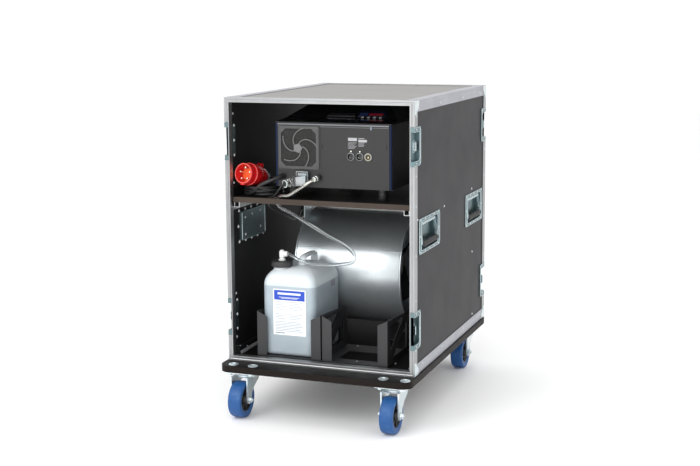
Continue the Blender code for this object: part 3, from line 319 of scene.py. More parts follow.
M = {
    "aluminium_y": brushed("aluminium_drawn_y", (0.42, 0.43, 0.465), 0.40, (1, 0.03, 1)),
    # The closing rims' drawn aluminium is a slightly darker copy of the long angles', painted shade.
    "aluminium_z": brushed("aluminium_drawn_z", (0.39, 0.395, 0.40), 0.38, (1, 1, 0.03)),
    "rail": brushed("rail_aluminium", (0.50, 0.51, 0.52), 0.40, (1, 0.03, 1)),
    "foot_strip": powder_coat("foot_strip", (0.17, 0.172, 0.178), 0.42),
    # Painted light: a pale, non-metal copy of the rivet steel for rivets inside the case, so they show bright
    # in its shade.
    "rivet_painted_light": plastic("rivet_painted_light", (0.62, 0.64, 0.65), 0.35),
    "rivet": zinc("rivet_steel", (0.66, 0.68, 0.70), 0.26),
    "zinc": zinc("zinc_plate", (0.76, 0.79, 0.80), 0.42),
    # The dishes get a far darker, greenish copy of the zinc: a greenish tone, and painted shade in their
    # recesses.
    "dish": zinc("dish_zinc", (0.17, 0.225, 0.235), 0.34),
    "dish_edge": zinc("dish_edge_zinc", (0.52, 0.585, 0.60), 0.26),
    "side": laminate("side_laminate", (0.019, 0.0183, 0.0215), 0.44, gloss=0.14),
    # Painted light: the top is the same black film-faced ply as the sides, given a far lighter grey where
    # light falls on it.
    "top": laminate("top_laminate_painted_light", (0.235, 0.228, 0.218), 0.52),
    # Painted shade: the insides are the same film as the outside, painted darker where the case shades them.
    "inside": laminate("inside_laminate_painted_shade", (0.006, 0.0056, 0.0062), 0.60, gloss=0.18),
    # Painted shade: the case floor's film is painted near-black.
    "floor_film_painted_shade": laminate("floor_film_painted_shade", (0.006, 0.0055, 0.0055), 0.70, gloss=0.05),
    "board": layered("board_ply", (0.0045, 0.0040, 0.0038), (0.0085, 0.0060, 0.0050),
                     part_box("base_board")[0].z, BOARD_TOP, 7),
    "shelf": layered("shelf_ply", (0.009, 0.008, 0.0075), (0.046, 0.035, 0.029),
                     SHELF_TOP - 0.015, SHELF_TOP, 5),
    "grip": plastic("grip_rubber", (0.020, 0.018, 0.019), 0.5, pebble=500.0, bump=0.3),
    "rack": powder_coat("rack_coat", (0.026, 0.026, 0.028), 0.42),
    "galvanised": galvanised(),
    "motor": powder_coat("motor_coat", (0.020, 0.020, 0.021), 0.5),
    # The front panel and the body are one powder coat: the front's copy is darker as painted shade and the
    # body's lighter as painted light on its shaded sides.
    "machine": powder_coat("machine_coat", (0.0115, 0.0113, 0.0122), 0.42),
    "body": powder_coat("body_coat_painted_light", (0.030, 0.028, 0.033), 0.38),
    "hood": plastic("hood_lacquer", (0.008, 0.008, 0.010), 0.16, bump=0.03, Coat_Weight=0.6),
    "trim": brushed("bright_fold", (0.20, 0.205, 0.215), 0.38, (0.03, 1, 1)),
    "steel": zinc("heater_steel", (0.50, 0.48, 0.45), 0.4),
    "brass": zinc("pump_brass", (0.72, 0.56, 0.26), 0.3),
    "nickel": zinc("nickel", (0.56, 0.55, 0.52), 0.22),
    "guard": plastic("guard_plastic", (0.056, 0.056, 0.058), 0.42),
    "guard_arm": plastic("guard_arm_plastic", (0.135, 0.135, 0.138), 0.40),
    "foam": foam(),
    "black": plastic("black_plastic", (0.014, 0.014, 0.015), 0.38),
    "cream": plastic("cream_plastic", (0.34, 0.32, 0.26), 0.35),
    "cap": plastic("cap_plastic", (0.030, 0.030, 0.032), 0.42, bump=0.2),
    "white": plastic("white_plastic", (0.80, 0.80, 0.79), 0.28),
    "red": plastic("plug_red", (0.62, 0.008, 0.012), 0.30, Coat_Weight=0.3),
    "red_rim": plastic("plug_rim", (0.78, 0.10, 0.08), 0.28, Coat_Weight=0.3),
    # Painted light: the floor inside the plug's shroud glows red, though it is no lamp.
    "red_painted_glow": glow("plug_inside_painted_glow", (0.85, 0.12, 0.03), 0.25),
    "pin": zinc("pin_nickel", (0.90, 0.86, 0.74), 0.24),
    "sheath": plastic("cable_sheath", (0.016, 0.016, 0.017), 0.42, bump=0.25),
    "grey_gland": plastic("grey_gland", (0.45, 0.47, 0.49), 0.40),
    "hose": hose_sheath(0.598),
    "tyre": cast_tyre(),
    "hub": plastic("hub_nylon", (0.014, 0.014, 0.015), 0.45),
    "display": plastic("display_glass", (0.010, 0.016, 0.040), 0.12, bump=0.0, Coat_Weight=0.8),
    "red_digit": glow("digit_red", (0.16, 0.006, 0.010), 0.35),
    "blue_icon": glow("icon_blue", (0.020, 0.045, 0.14), 0.15),
    "label": printed("label_paper", (0.84, 0.86, 0.88), (0.72, 0.76, 0.80), 90.0),
    "label_blue": printed("label_header", (0.012, 0.060, 0.46), (0.02, 0.08, 0.52), 70.0),
    "label_ink": printed("label_ink", (0.20, 0.24, 0.30), (0.34, 0.38, 0.44), 300.0),
    "label_grey": printed("label_grey", (0.24, 0.23, 0.33), (0.52, 0.52, 0.60), 420.0),
    "pale_print": printed("pale_print", (0.40, 0.40, 0.42), (0.16, 0.16, 0.17), 420.0),
    "blue_edge": plastic("blue_edge", (0.004, 0.012, 0.042), 0.5, Specular_IOR_Level=0.15),
    "connector": zinc("connector_zinc", (0.40, 0.41, 0.42), 0.34),
    "lever": zinc("lever_steel", (0.34, 0.35, 0.36), 0.40),
}


# ---- shapes ----------------------------------------------------------------------------


def add_box(shape, low, high):
    low, high = Vector(low), Vector(high)
    size = Matrix.Diagonal((*(high - low), 1.0))
    bmesh.ops.create_cube(shape, size=1.0, matrix=Matrix.Translation((low + high) / 2) @ size)


def add_rings(shape, rings, closed=False, caps=True):
    rows = [[shape.verts.new(point) for point in ring] for ring in rings]
    count = len(rows[0])
    pairs = list(zip(rows, rows[1:]))
    if closed:
        pairs.append((rows[-1], rows[0]))
    for low, high in pairs:
        for step in range(count):
            after = (step + 1) % count
            shape.faces.new((low[step], low[after], high[after], high[step]))
    if caps and not closed:
        shape.faces.new(rows[0])
        shape.faces.new(rows[-1])


def axes_of(axis):
    along = Vector(axis).normalized()
    side = Vector((0, 0, 1)) if abs(along.z) < 0.9 else Vector((0, 1, 0))
    across = side.cross(along).normalized()
    return across, along.cross(across), along


def ring_points(origin, axis, radius, sides, turn=0.0, wave=0.0, waves=0):
    across, up, _ = axes_of(axis)
    points = []
    for step in range(sides):
        angle = turn + math.tau * step / sides
        reach = radius * (1 + wave * math.cos(waves * angle))
        points.append(Vector(origin) + reach * (math.cos(angle) * across + math.sin(angle) * up))
    return points


def add_turned(shape, profile, origin, axis, sides, closed=False):
    """A profile of (radius, height) turned about an axis through the origin."""
    along = Vector(axis).normalized()
    rings = [ring_points(Vector(origin) + height * along, axis, max(radius, 0.00002), sides)
             for radius, height in profile]
    add_rings(shape, rings, closed)


def add_prism(shape, outline, plane, low, high):
    places = {
        "XY": lambda a, b, c: (a, b, c),
        "XZ": lambda a, b, c: (a, c, b),
        "YZ": lambda a, b, c: (c, a, b),
    }
    place = places[plane]
    add_rings(shape, [[place(a, b, depth) for a, b in outline] for depth in (low, high)])


def add_dome(shape, origin, axis, radius, height, sides=12):
    profile = [(radius, 0.0), (radius * 0.96, height * 0.3), (radius * 0.70, height * 0.78),
               (radius * 0.30, height), (0.0, height)]
    add_turned(shape, profile, origin, axis, sides)


def rounded(x_range, y_range, radius, steps=4):
    low_x, high_x = x_range
    low_y, high_y = y_range
    corners = (
        (high_x - radius, high_y - radius, 0), (low_x + radius, high_y - radius, 90),
        (low_x + radius, low_y + radius, 180), (high_x - radius, low_y + radius, 270),
    )
    points = []
    for mid_x, mid_y, start in corners:
        for step in range(steps + 1):
            angle = math.radians(start + 90 * step / steps)
            points.append((mid_x + radius * math.cos(angle), mid_y + radius * math.sin(angle)))
    return points


def add_bead(shape, loop, radius, sides=6, closed=True):
    """A round bead along a loop of points."""
    rings = []
    count = len(loop)
    for step, point in enumerate(loop):
        before = Vector(loop[(step - 1) % count]) if closed or step else Vector(point)
        after = Vector(loop[(step + 1) % count]) if closed or step < count - 1 else Vector(point)
        rings.append((Vector(point), (after - before).normalized()))
    first = rings[0][1]
    side = first.orthogonal().normalized()
    rows = []
    for point, along in rings:
        side = (side - along * side.dot(along)).normalized()
        up = along.cross(side)
        rows.append([point + radius * (math.cos(a) * side + math.sin(a) * up)
                     for a in [math.tau * step / sides for step in range(sides)]])
    add_rings(shape, rows, closed)


def mirrored(shape, matrix):
    bmesh.ops.transform(shape, matrix=matrix, verts=shape.verts)


def piece(name, shape, material, body="case", bevel=0.0, angle=38):
    bmesh.ops.recalc_face_normals(shape, faces=shape.faces)
    mesh = bpy.data.meshes.new(name)
    shape.to_mesh(mesh)
    shape.free()
    return dress(bpy.data.objects.new(name, mesh), material, body, bevel, angle)


def dress(item, material, body, bevel=0.0, angle=38):
    item.data.materials.clear()
    item.data.materials.append(M[material])
    if item.name not in bpy.context.scene.collection.objects:
        bpy.context.scene.collection.objects.link(item)
    item.data.shade_smooth()
    item.data.set_sharp_from_angle(angle=math.radians(angle))
    if bevel:
        soften(item, bevel)
    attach(item, body)
    return item


def soften(item, width, segments=2):
    modifier = item.modifiers.new("soft_edges", "BEVEL")
    modifier.width = width
    modifier.segments = segments
    modifier.limit_method = "ANGLE"
    modifier.angle_limit = math.radians(40)
    modifier.harden_normals = True


def smooth(points, steps=6):
    """A Catmull-Rom curve through a cord's points."""
    points = [Vector(point) for point in points]
    ends = [2 * points[0] - points[1]] + points + [2 * points[-1] - points[-2]]
    route = []
    for index in range(1, len(ends) - 2):
        p0, p1, p2, p3 = ends[index - 1:index + 3]
        for step in range(steps):
            t = step / steps
            route.append(0.5 * (2 * p1 + (p2 - p0) * t + (2 * p0 - 5 * p1 + 4 * p2 - p3) * t * t
                                + (3 * p1 - p0 - 3 * p2 + p3) * t ** 3))
    route.append(points[-1])
    return route


def cord_curve(name, route, radius, material, body="case"):
    curve = bpy.data.curves.new(name, "CURVE")
    curve.dimensions = "3D"
    curve.bevel_depth = radius
    curve.bevel_resolution = 3
    curve.use_fill_caps = True
    spline = curve.splines.new("POLY")
    spline.points.add(len(route) - 1)
    for point, place in zip(spline.points, route):
        point.co = (*place, 1.0)
    spline.use_smooth = True
    item = bpy.data.objects.new(name, curve)
    bpy.context.scene.collection.objects.link(item)
    curve.materials.append(M[material])
    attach(item, body)
    return item


# ---- camera and light ------------------------------------------------------------------


def make_camera():
    data = bpy.data.cameras.new("camera")
    data.lens = 65.75
    data.sensor_width = 36.0
    data.shift_y = -0.05
    yaw, pitch, roll = (math.radians(value) for value in (20.425, 8.26, -0.352))
    ahead = Vector((-math.sin(yaw) * math.cos(pitch), math.cos(yaw) * math.cos(pitch), -math.sin(pitch)))
    right = Vector((math.cos(yaw), math.sin(yaw), 0.0))
    up = right.cross(ahead)
    across = right * math.cos(roll) + up * math.sin(roll)
    upward = up * math.cos(roll) - right * math.sin(roll)
    place = Matrix((across, upward, -ahead)).transposed().to_4x4()
    place.translation = (1.2536, -3.446, 1.1002)
    camera = bpy.data.objects.new("camera", data)
    camera.matrix_world = place
    bpy.context.scene.collection.objects.link(camera)
    bpy.context.scene.camera = camera


def softbox(name, place, target, size, power, color=(1.0, 1.0, 1.0)):
    data = bpy.data.lights.new(name, "AREA")
    data.shape = "RECTANGLE"
    data.size, data.size_y = size
    data.energy = power
    data.color = color
    light = bpy.data.objects.new(name, data)
    light.location = place
    aim = Vector(target) - Vector(place)
    light.rotation_euler = aim.to_track_quat("-Z", "Y").to_euler()
    bpy.context.scene.collection.objects.link(light)


def make_studio():
    shape = bmesh.new()
    add_box(shape, (-9.0, -7.0, -0.02), (9.0, 11.0, 0.0))
    mesh = bpy.data.meshes.new("floor")
    shape.to_mesh(mesh)
    shape.free()
    floor = bpy.data.objects.new("floor", mesh)
    skin = Surface("studio_floor", (0.975, 0.975, 0.975), 0.6)
    skin.paint(skin.tint(skin.noise(0.4, 2.0), 0.01))
    mesh.materials.append(skin.material)
    bpy.context.scene.collection.objects.link(floor)
    world = bpy.data.worlds.new("studio")
    world.use_nodes = True
    sky = world.node_tree.nodes["Background"]
    sky.inputs["Color"].default_value = (1.0, 1.0, 1.0, 1.0)
    sky.inputs["Strength"].default_value = 1.03
    bpy.context.scene.world = world
    softbox("key", (-1.6, -2.6, 2.9), (0.0, 0.0, 0.45), (1.8, 1.4), 34.0)
    softbox("side", (2.5, -0.1, 2.5), (0.27, 0.1, 0.75), (1.2, 1.4), 9.0)
    softbox("front", (0.05, -3.0, 1.45), (0.0, 0.0, 0.40), (2.5, 1.7), 31.0)
    softbox("top", (0.0, 0.4, 3.2), (0.0, 0.0, 0.8), (2.4, 2.4), 10.0)
    scene = bpy.context.scene
    scene.view_settings.view_transform = "Standard"


# ---- cords -----------------------------------------------------------------------------

CABLE_R = 0.0045
CONTROL_R = 0.0025
COIL_LOW, COIL_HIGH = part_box("cable_coil")
COIL_MID = (COIL_LOW + COIL_HIGH) / 2
PLUG_FACE = Vector((-0.2282, -0.302, 0.6675))
PLUG_AXIS = Vector((0.183, 0.963, -0.197)).normalized()

POWER_ROUTE = (
    (-0.1136, -0.2905, 0.6632), (-0.1136, -0.3035, 0.6632), (-0.1147, -0.3121, 0.6627),
    (-0.1180, -0.3202, 0.6614), (-0.1232, -0.3272, 0.6593), (-0.1300, -0.3326, 0.6565),
    (-0.1380, -0.3361, 0.6532), (-0.1466, -0.3375, 0.6494), (-0.1553, -0.3366, 0.6453),
    (-0.1634, -0.3336, 0.6409), (-0.1706, -0.3286, 0.6365), (-0.1807, -0.3193, 0.6294),
    (-0.1908, -0.3101, 0.6227), (-0.2010, -0.3008, 0.6168), (-0.2111, -0.2915, 0.6121),
    (-0.2212, -0.2823, 0.6089),
)
TAIL_TURN_X, TAIL_TURN_Y, TAIL_TURN_Z, TAIL_TURN_R = -0.2090, 0.0200, 0.6078, 0.0390
PLUG_TAIL = (
    (-0.2480, -0.2260, 0.6258), (-0.2480, -0.2120, 0.6254), (-0.2480, -0.1950, 0.6228),
    (-0.2480, -0.1780, 0.6166), (-0.2480, -0.1610, 0.6104), (-0.2480, -0.1440, 0.6080),
    (-0.2480, -0.1200, 0.6078), (-0.2480, -0.0900, 0.6078), (-0.2480, -0.0600, 0.6078),
    (-0.2480, -0.0300, 0.6078), (-0.2480, -0.0050, 0.6078),
    *((round(TAIL_TURN_X - TAIL_TURN_R * math.cos(math.radians(angle)), 4),
       round(TAIL_TURN_Y + TAIL_TURN_R * math.sin(math.radians(angle)), 4), TAIL_TURN_Z)
      for angle in range(0, 181, 20)),
    (-0.1712, 0.0000, 0.6083), (-0.1740, -0.0200, 0.6103), (-0.1781, -0.0400, 0.6139),
    (-0.1822, -0.0600, 0.6180), (-0.1860, -0.0800, 0.6221), (-0.1898, -0.1000, 0.6262),
    (-0.1936, -0.1200, 0.6303), (-0.1983, -0.1450, 0.6354), (-0.2031, -0.1700, 0.6405),
    (-0.2055, -0.1826, 0.6431), (-0.2069, -0.1900, 0.6446),
)
CONTROL_ROUTE = (
    (-0.0846, -0.3552, 0.6512), (-0.0890, -0.3560, 0.6470), (-0.0960, -0.3530, 0.6400),
    (-0.1040, -0.3460, 0.6320), (-0.1125, -0.3360, 0.6250), (-0.1220, -0.3250, 0.6180),
    (-0.1320, -0.3130, 0.6120), (-0.1410, -0.3035, 0.6060), (-0.1485, -0.2975, 0.5985),
    (-0.1545, -0.2940, 0.5900), (-0.1575, -0.2910, 0.5815), (-0.1555, -0.2850, 0.5745),
    (-0.1505, -0.2740, 0.5670), (-0.1450, -0.2580, 0.5590), (-0.1400, -0.2390, 0.5505),
    (-0.1365, -0.2170, 0.5410), (-0.1360, -0.1930, 0.5320), (-0.1385, -0.1680, 0.5250),
    (-0.1430, -0.1420, 0.5210), (-0.1490, -0.1160, 0.5200), (-0.1560, -0.0890, 0.5210),
    (-0.1640, -0.0620, 0.5230), (-0.1710, -0.0360, 0.5250), (-0.1750, -0.0140, 0.5260),
)
HOSE_ROUTE = (
    (-0.0096, -0.2950, 0.6628), (-0.0097, -0.3040, 0.6625), (-0.0108, -0.3100, 0.6612),
    (-0.0145, -0.3158, 0.6592), (-0.0205, -0.3204, 0.6558), (-0.0282, -0.3234, 0.6508),
    (-0.0368, -0.3250, 0.6450), (-0.0462, -0.3254, 0.6390), (-0.0645, -0.3240, 0.6280),
    (-0.0735, -0.3230, 0.6220), (-0.0830, -0.3210, 0.6170), (-0.0930, -0.3175, 0.6138),
    (-0.1030, -0.3130, 0.6128), (-0.1125, -0.3080, 0.6112), (-0.1208, -0.3030, 0.6080),
    (-0.1270, -0.2985, 0.6030), (-0.1305, -0.2950, 0.5965), (-0.1312, -0.2930, 0.5890),
    (-0.1288, -0.2915, 0.5818), (-0.1235, -0.2905, 0.5760), (-0.1160, -0.2895, 0.5715),
    (-0.1070, -0.2875, 0.5672), (-0.0955, -0.2835, 0.5612), (-0.0850, -0.2770, 0.5530),
    (-0.0735, -0.2700, 0.5440), (-0.0610, -0.2640, 0.5350), (-0.0480, -0.2580, 0.5260),
    (-0.0345, -0.2530, 0.5165), (-0.0205, -0.2480, 0.5070), (-0.0065, -0.2430, 0.4975),
    (0.0075, -0.2370, 0.4890), (0.0215, -0.2320, 0.4805), (0.0340, -0.2270, 0.4725),
    (0.0450, -0.2225, 0.4640), (0.0545, -0.2190, 0.4550), (0.0608, -0.2165, 0.4460),
    (0.0632, -0.2150, 0.4370), (0.0612, -0.2140, 0.4285), (0.0555, -0.2135, 0.4222),
    (0.0470, -0.2135, 0.4182), (0.0370, -0.2140, 0.4160), (0.0250, -0.2155, 0.4142),
    (0.0110, -0.2175, 0.4120), (-0.0050, -0.2205, 0.4105), (-0.0210, -0.2240, 0.4100),
    (-0.0370, -0.2270, 0.4105), (-0.0530, -0.2300, 0.4120), (-0.0690, -0.2330, 0.4150),
    (-0.0840, -0.2355, 0.4195), (-0.0980, -0.2370, 0.4255), (-0.1110, -0.2378, 0.4325),
    (-0.1225, -0.2380, 0.4374), (-0.1330, -0.2380, 0.4380),
)


def coil_turns():
    """Five turns in two columns, wound clockwise from the front left."""
    inner, outer = 0.0425, 0.0515
    first, step = COIL_LOW.z + CABLE_R, 2 * CABLE_R
    stations = (
        (outer, first), (inner, first), (inner, first + step), (outer, first + step),
        (inner, first + 2 * step), (outer, first + 2 * step), (outer, first + 2 * step),
    )
    points = []
    per_turn, eased, last = 18, 7, 3
    start = math.radians(227.5)
    for turn, ((radius, height), (next_radius, next_height)) in enumerate(zip(stations, stations[1:])):
        for index in range(last if turn == len(stations) - 2 else per_turn):
            share = max(0.0, (index - per_turn + eased) / eased)
            ease = share * share * (3 - 2 * share)
            here = radius + (next_radius - radius) * ease
            level = height + (next_height - height) * ease
            angle = start - math.tau * (turn * per_turn + index) / per_turn
            points.append((COIL_MID.x + here * math.cos(angle), COIL_MID.y + here * math.sin(angle), level))
    return points


def strain_relief(name, route, start_radius, end_radius, length, material, rings=6):
    """A tapered sleeve round the start of a cord, with moulded rings."""
    along = [0.0]
    for a, b in zip(route, route[1:]):
        along.append(along[-1] + (b - a).length)
    shape = bmesh.new()
    rows = []
    total = rings * 4
    for step in range(total + 1):
        want = length * step / total
        index = max(i for i, value in enumerate(along) if value <= want)
        index = min(index, len(route) - 2)
        span = along[index + 1] - along[index]
        point = route[index].lerp(route[index + 1], (want - along[index]) / span)
        taper = start_radius + (end_radius - start_radius) * step / total
        radius = taper - (0.0006 if step % 4 in (2, 3) else 0.0)
        direction = route[index + 1] - route[index]
        rows.append(ring_points(point, direction, max(radius, end_radius), 16))
    add_rings(shape, rows)
    return piece(name, shape, material)


def make_power_cable():
    route = smooth(POWER_ROUTE + tuple(coil_turns()) + PLUG_TAIL, 4)
    cable = cord_curve("mains_cable", route, CABLE_R, "sheath")
    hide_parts("power_cable", "cable_coil")
    relief = strain_relief("mains_cable_relief", route[4:], 0.0078, 0.0052, 0.028, "black")
    return cable


def make_control_cable():
    route = smooth(CONTROL_ROUTE, 5)
    cable = cord_curve("control_lead", route, CONTROL_R, "sheath")
    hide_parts("control_cable")


def make_hose():
    route = smooth(HOSE_ROUTE, 5)
    hose = cord_curve("fluid_line", route, CABLE_R, "hose")
    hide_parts("fluid_hose")
    ferrule = bmesh.new()
    outer = [(0.0052, 0.0), (0.0076, 0.0), (0.0080, 0.0015), (0.0080, 0.008), (0.0068, 0.009),
             (0.0068, 0.016), (0.0052, 0.017)]
    add_turned(ferrule, outer, (-0.0096, -0.3036, 0.6626), (-0.25, -0.95, -0.12), 18)
    sleeve = piece("hose_ferrule", ferrule, "nickel")


# ---- case ------------------------------------------------------------------------------

LATCH_HEIGHTS = {"lower": 0.2695, "upper": 0.7563}
HANDLE_YS = {"front": -0.1885, "rear": 0.272}
HANDLE_Z = 0.514


def at_edge(shape, sign, forward):
    """Mirrors a shape made for the front right edge to another upright edge."""
    place = Matrix.Translation((0, CASE_MID_Y, 0)) @ Matrix.Diagonal((sign, forward, 1, 1))
    mirrored(shape, place @ Matrix.Translation((0, -CASE_MID_Y, 0)))


def apply_cuts(item, cutters):
    for cutter in cutters:
        modifier = item.modifiers.new("cut", "BOOLEAN")
        modifier.operation = "DIFFERENCE"
        modifier.solver = "EXACT"
        modifier.object = cutter
    graph = bpy.context.evaluated_depsgraph_get()
    mesh = bpy.data.meshes.new_from_object(item.evaluated_get(graph))
    item.modifiers.clear()
    item.data = mesh
    for cutter in cutters:
        bpy.data.objects.remove(cutter)
    return item


def plain_object(name, shape):
    bmesh.ops.recalc_face_normals(shape, faces=shape.faces)
    mesh = bpy.data.meshes.new(name)
    shape.to_mesh(mesh)
    shape.free()
    item = bpy.data.objects.new(name, mesh)
    bpy.context.scene.collection.objects.link(item)
    return item


def closing_rim(name, forward):
    """The grooved extrusion round the open end, mitred at its corners."""
    profile = (
        (0.0, 0.0), (0.0045, 0.0), (0.0056, 0.0007), (0.0060, 0.0011), (0.0082, 0.0011),
        (0.0086, 0.0007), (0.0097, 0.0), (0.0136, 0.0), (0.0136, 0.020), (0.0118, 0.020),
        (0.0118, 0.005), (0.0018, 0.005), (0.0018, 0.026), (0.0, 0.026), (0.0, 0.0185),
        (0.0004, 0.0180), (0.0004, 0.0170), (0.0, 0.0165), (0.0, 0.0085), (0.0004, 0.0080),
        (0.0004, 0.0070), (0.0, 0.0065),
    )
    corners = ((1, CASE_HIGH.z, -1), (-1, CASE_HIGH.z, -1), (-1, CASE_LOW.z, 1), (1, CASE_LOW.z, 1))
    rings = []
    for side, edge, inward in corners:
        rings.append([(side * (CASE_X - u), CASE_FRONT + v, edge + inward * u) for u, v in profile])
    shape = bmesh.new()
    add_rings(shape, rings, closed=True)
    at_edge(shape, 1, forward)
    rim = plain_object(name, shape)
    cutters = []
    for sign in SIDES.values():
        for height in LATCH_HEIGHTS.values():
            cutter = bmesh.new()
            add_box(cutter, (WALL - 0.0001, CASE_FRONT - 0.01, height - 0.0515),
                    (CASE_X + 0.01, CASE_FRONT + 0.0530, height + 0.0515))
            at_edge(cutter, sign, forward)
            cutters.append(plain_object("cutter", cutter))
    apply_cuts(rim, cutters)
    return dress(rim, "aluminium_z", "case", 0.0003, 30)


def long_angle(name, sign, top):
    """The angle along a long edge: two 30 mm legs with shallow lines, mitred into the rims."""
    edge = CASE_HIGH.z if top else CASE_LOW.z
    inward = -1 if top else 1
    profile = (
        (0.0, 0.0), (0.030, 0.0), (0.030, 0.0019), (0.0019, 0.0019), (0.0019, 0.030), (0.0, 0.030),
        (0.0, 0.0245), (0.0004, 0.0240), (0.0004, 0.0230), (0.0, 0.0225), (0.0, 0.0065),
        (0.0004, 0.0060), (0.0004, 0.0050), (0.0, 0.0045),
    )
    ends = (CASE_FRONT + 0.0055, CASE_BACK - 0.0055)
    shape = bmesh.new()
    rings = [[(sign * (CASE_X - a - 0.00015), y, edge + inward * (b + 0.00015)) for a, b in profile]
             for y in ends]
    add_rings(shape, rings)
    return piece(name, shape, "aluminium_y", bevel=0.0003, angle=30)


def corner_braces():
    """Folded zinc braces on the eight corners of the case, each with its rivets."""
    shape = bmesh.new()
    heads = bmesh.new()
    for sign in SIDES.values():
        for forward in ENDS.values():
            for edge, inward in ((CASE_HIGH.z, -1), (CASE_LOW.z, 1)):
                brace = bmesh.new()
                outline = [(0.0012, 0.0), (0.036, 0.0), (0.036, 0.012), (0.012, 0.036), (0.0012, 0.036)]
                points = [(CASE_FRONT + a, edge + inward * (b + 0.0008)) for a, b in outline]
                add_prism(brace, points, "YZ", CASE_X + 0.0001, CASE_X + 0.0010)
                rivets = bmesh.new()
                for a, b in ((0.0075, 0.0290), (0.0270, 0.0065), (0.0075, 0.0080)):
                    add_dome(rivets, (CASE_X + 0.0009, CASE_FRONT + a, edge + inward * b),
                             (1, 0, 0), 0.0026, 0.0011)
                for source, target in ((brace, shape), (rivets, heads)):
                    at_edge(source, sign, forward)
                    merge(source, target)
    piece("corner_braces", shape, "zinc", bevel=0.0003)
    piece("corner_rivets", heads, "rivet")


def merge(source, target):
    mesh = bpy.data.meshes.new("merge")
    source.to_mesh(mesh)
    source.free()
    target.from_mesh(mesh)
    bpy.data.meshes.remove(mesh)


def case_rivets():
    """Rivets and screws on the panels and the edging, and the angle strips along the floor."""
    shape, inner = bmesh.new(), bmesh.new()
    panel_spots = ((-0.045, 0.563), (0.250, 0.574), (0.259, 0.380), (0.265, 0.185), (-0.293, 0.562))
    edge_spots = ((-0.293, 0.854), (-0.091, 0.8555), (0.137, 0.8546), (0.330, 0.8550),
                  (-0.255, 0.168), (-0.069, 0.168), (0.159, 0.167), (0.340, 0.168))
    for sign in SIDES.values():
        for y, z in panel_spots:
            add_dome(shape, (sign * PANEL_X, y, z), (sign, 0, 0), 0.0034, 0.0014)
        for y, z in edge_spots:
            add_dome(shape, (sign * (CASE_X - 0.0003), y, z), (sign, 0, 0), 0.0034, 0.0016)
        for y in (CASE_FRONT + 0.013, CASE_BACK - 0.013):
            for z in (0.215, 0.350, 0.470, 0.600, 0.680, 0.835):
                add_dome(shape, (sign * (CASE_X - 0.0004), y, z), (sign, 0, 0), 0.0032, 0.0015)
        for y in (CASE_FRONT + 0.036, CASE_BACK - 0.036):
            for middle in LATCH_HEIGHTS.values():
                for lift in (-0.041, 0.0, 0.041):
                    add_dome(inner, (sign * (WALL + 0.0002), y, middle + lift), (-sign, 0, 0), 0.0042, 0.0020)
        for z in (0.176, 0.206, 0.330, 0.640, 0.830):
            for y in (CASE_FRONT + 0.031, CASE_BACK - 0.031):
                add_dome(inner, (sign * (WALL + 0.0002), y, z), (-sign, 0, 0), 0.0036, 0.0016)
        for x_share in (0.35, 0.75):
            for y in (CASE_FRONT + 0.015, CASE_BACK - 0.015):
                add_dome(shape, (sign * CASE_X * x_share, y, CASE_HIGH.z - 0.0024), (0, 0, 1), 0.0028, 0.0011)
        for y in (-0.250, -0.050, 0.150, 0.330):
            add_dome(shape, (sign * (CASE_X - 0.020), y, CASE_HIGH.z - 0.0012), (0, 0, 1), 0.0028, 0.0010)
    piece("case_rivets", shape, "rivet")
    # The inner rivets take the pale copy of the rivet steel, painted light.
    piece("case_inner_rivets", inner, "rivet_painted_light")
    foot = bmesh.new()
    for sign in SIDES.values():
        inner_x = sign * (WALL - 0.0004)
        outline = [(inner_x, FLOOR + 0.0004), (inner_x - sign * 0.0150, FLOOR + 0.0004),
                   (inner_x - sign * 0.0150, FLOOR + 0.0030), (inner_x, FLOOR + 0.0180)]
        add_rings(foot, [[(x, y, z) for x, z in outline] for y in (CASE_FRONT + 0.032, CASE_BACK - 0.032)])
    piece("floor_angles", foot, "foot_strip", bevel=0.0003)


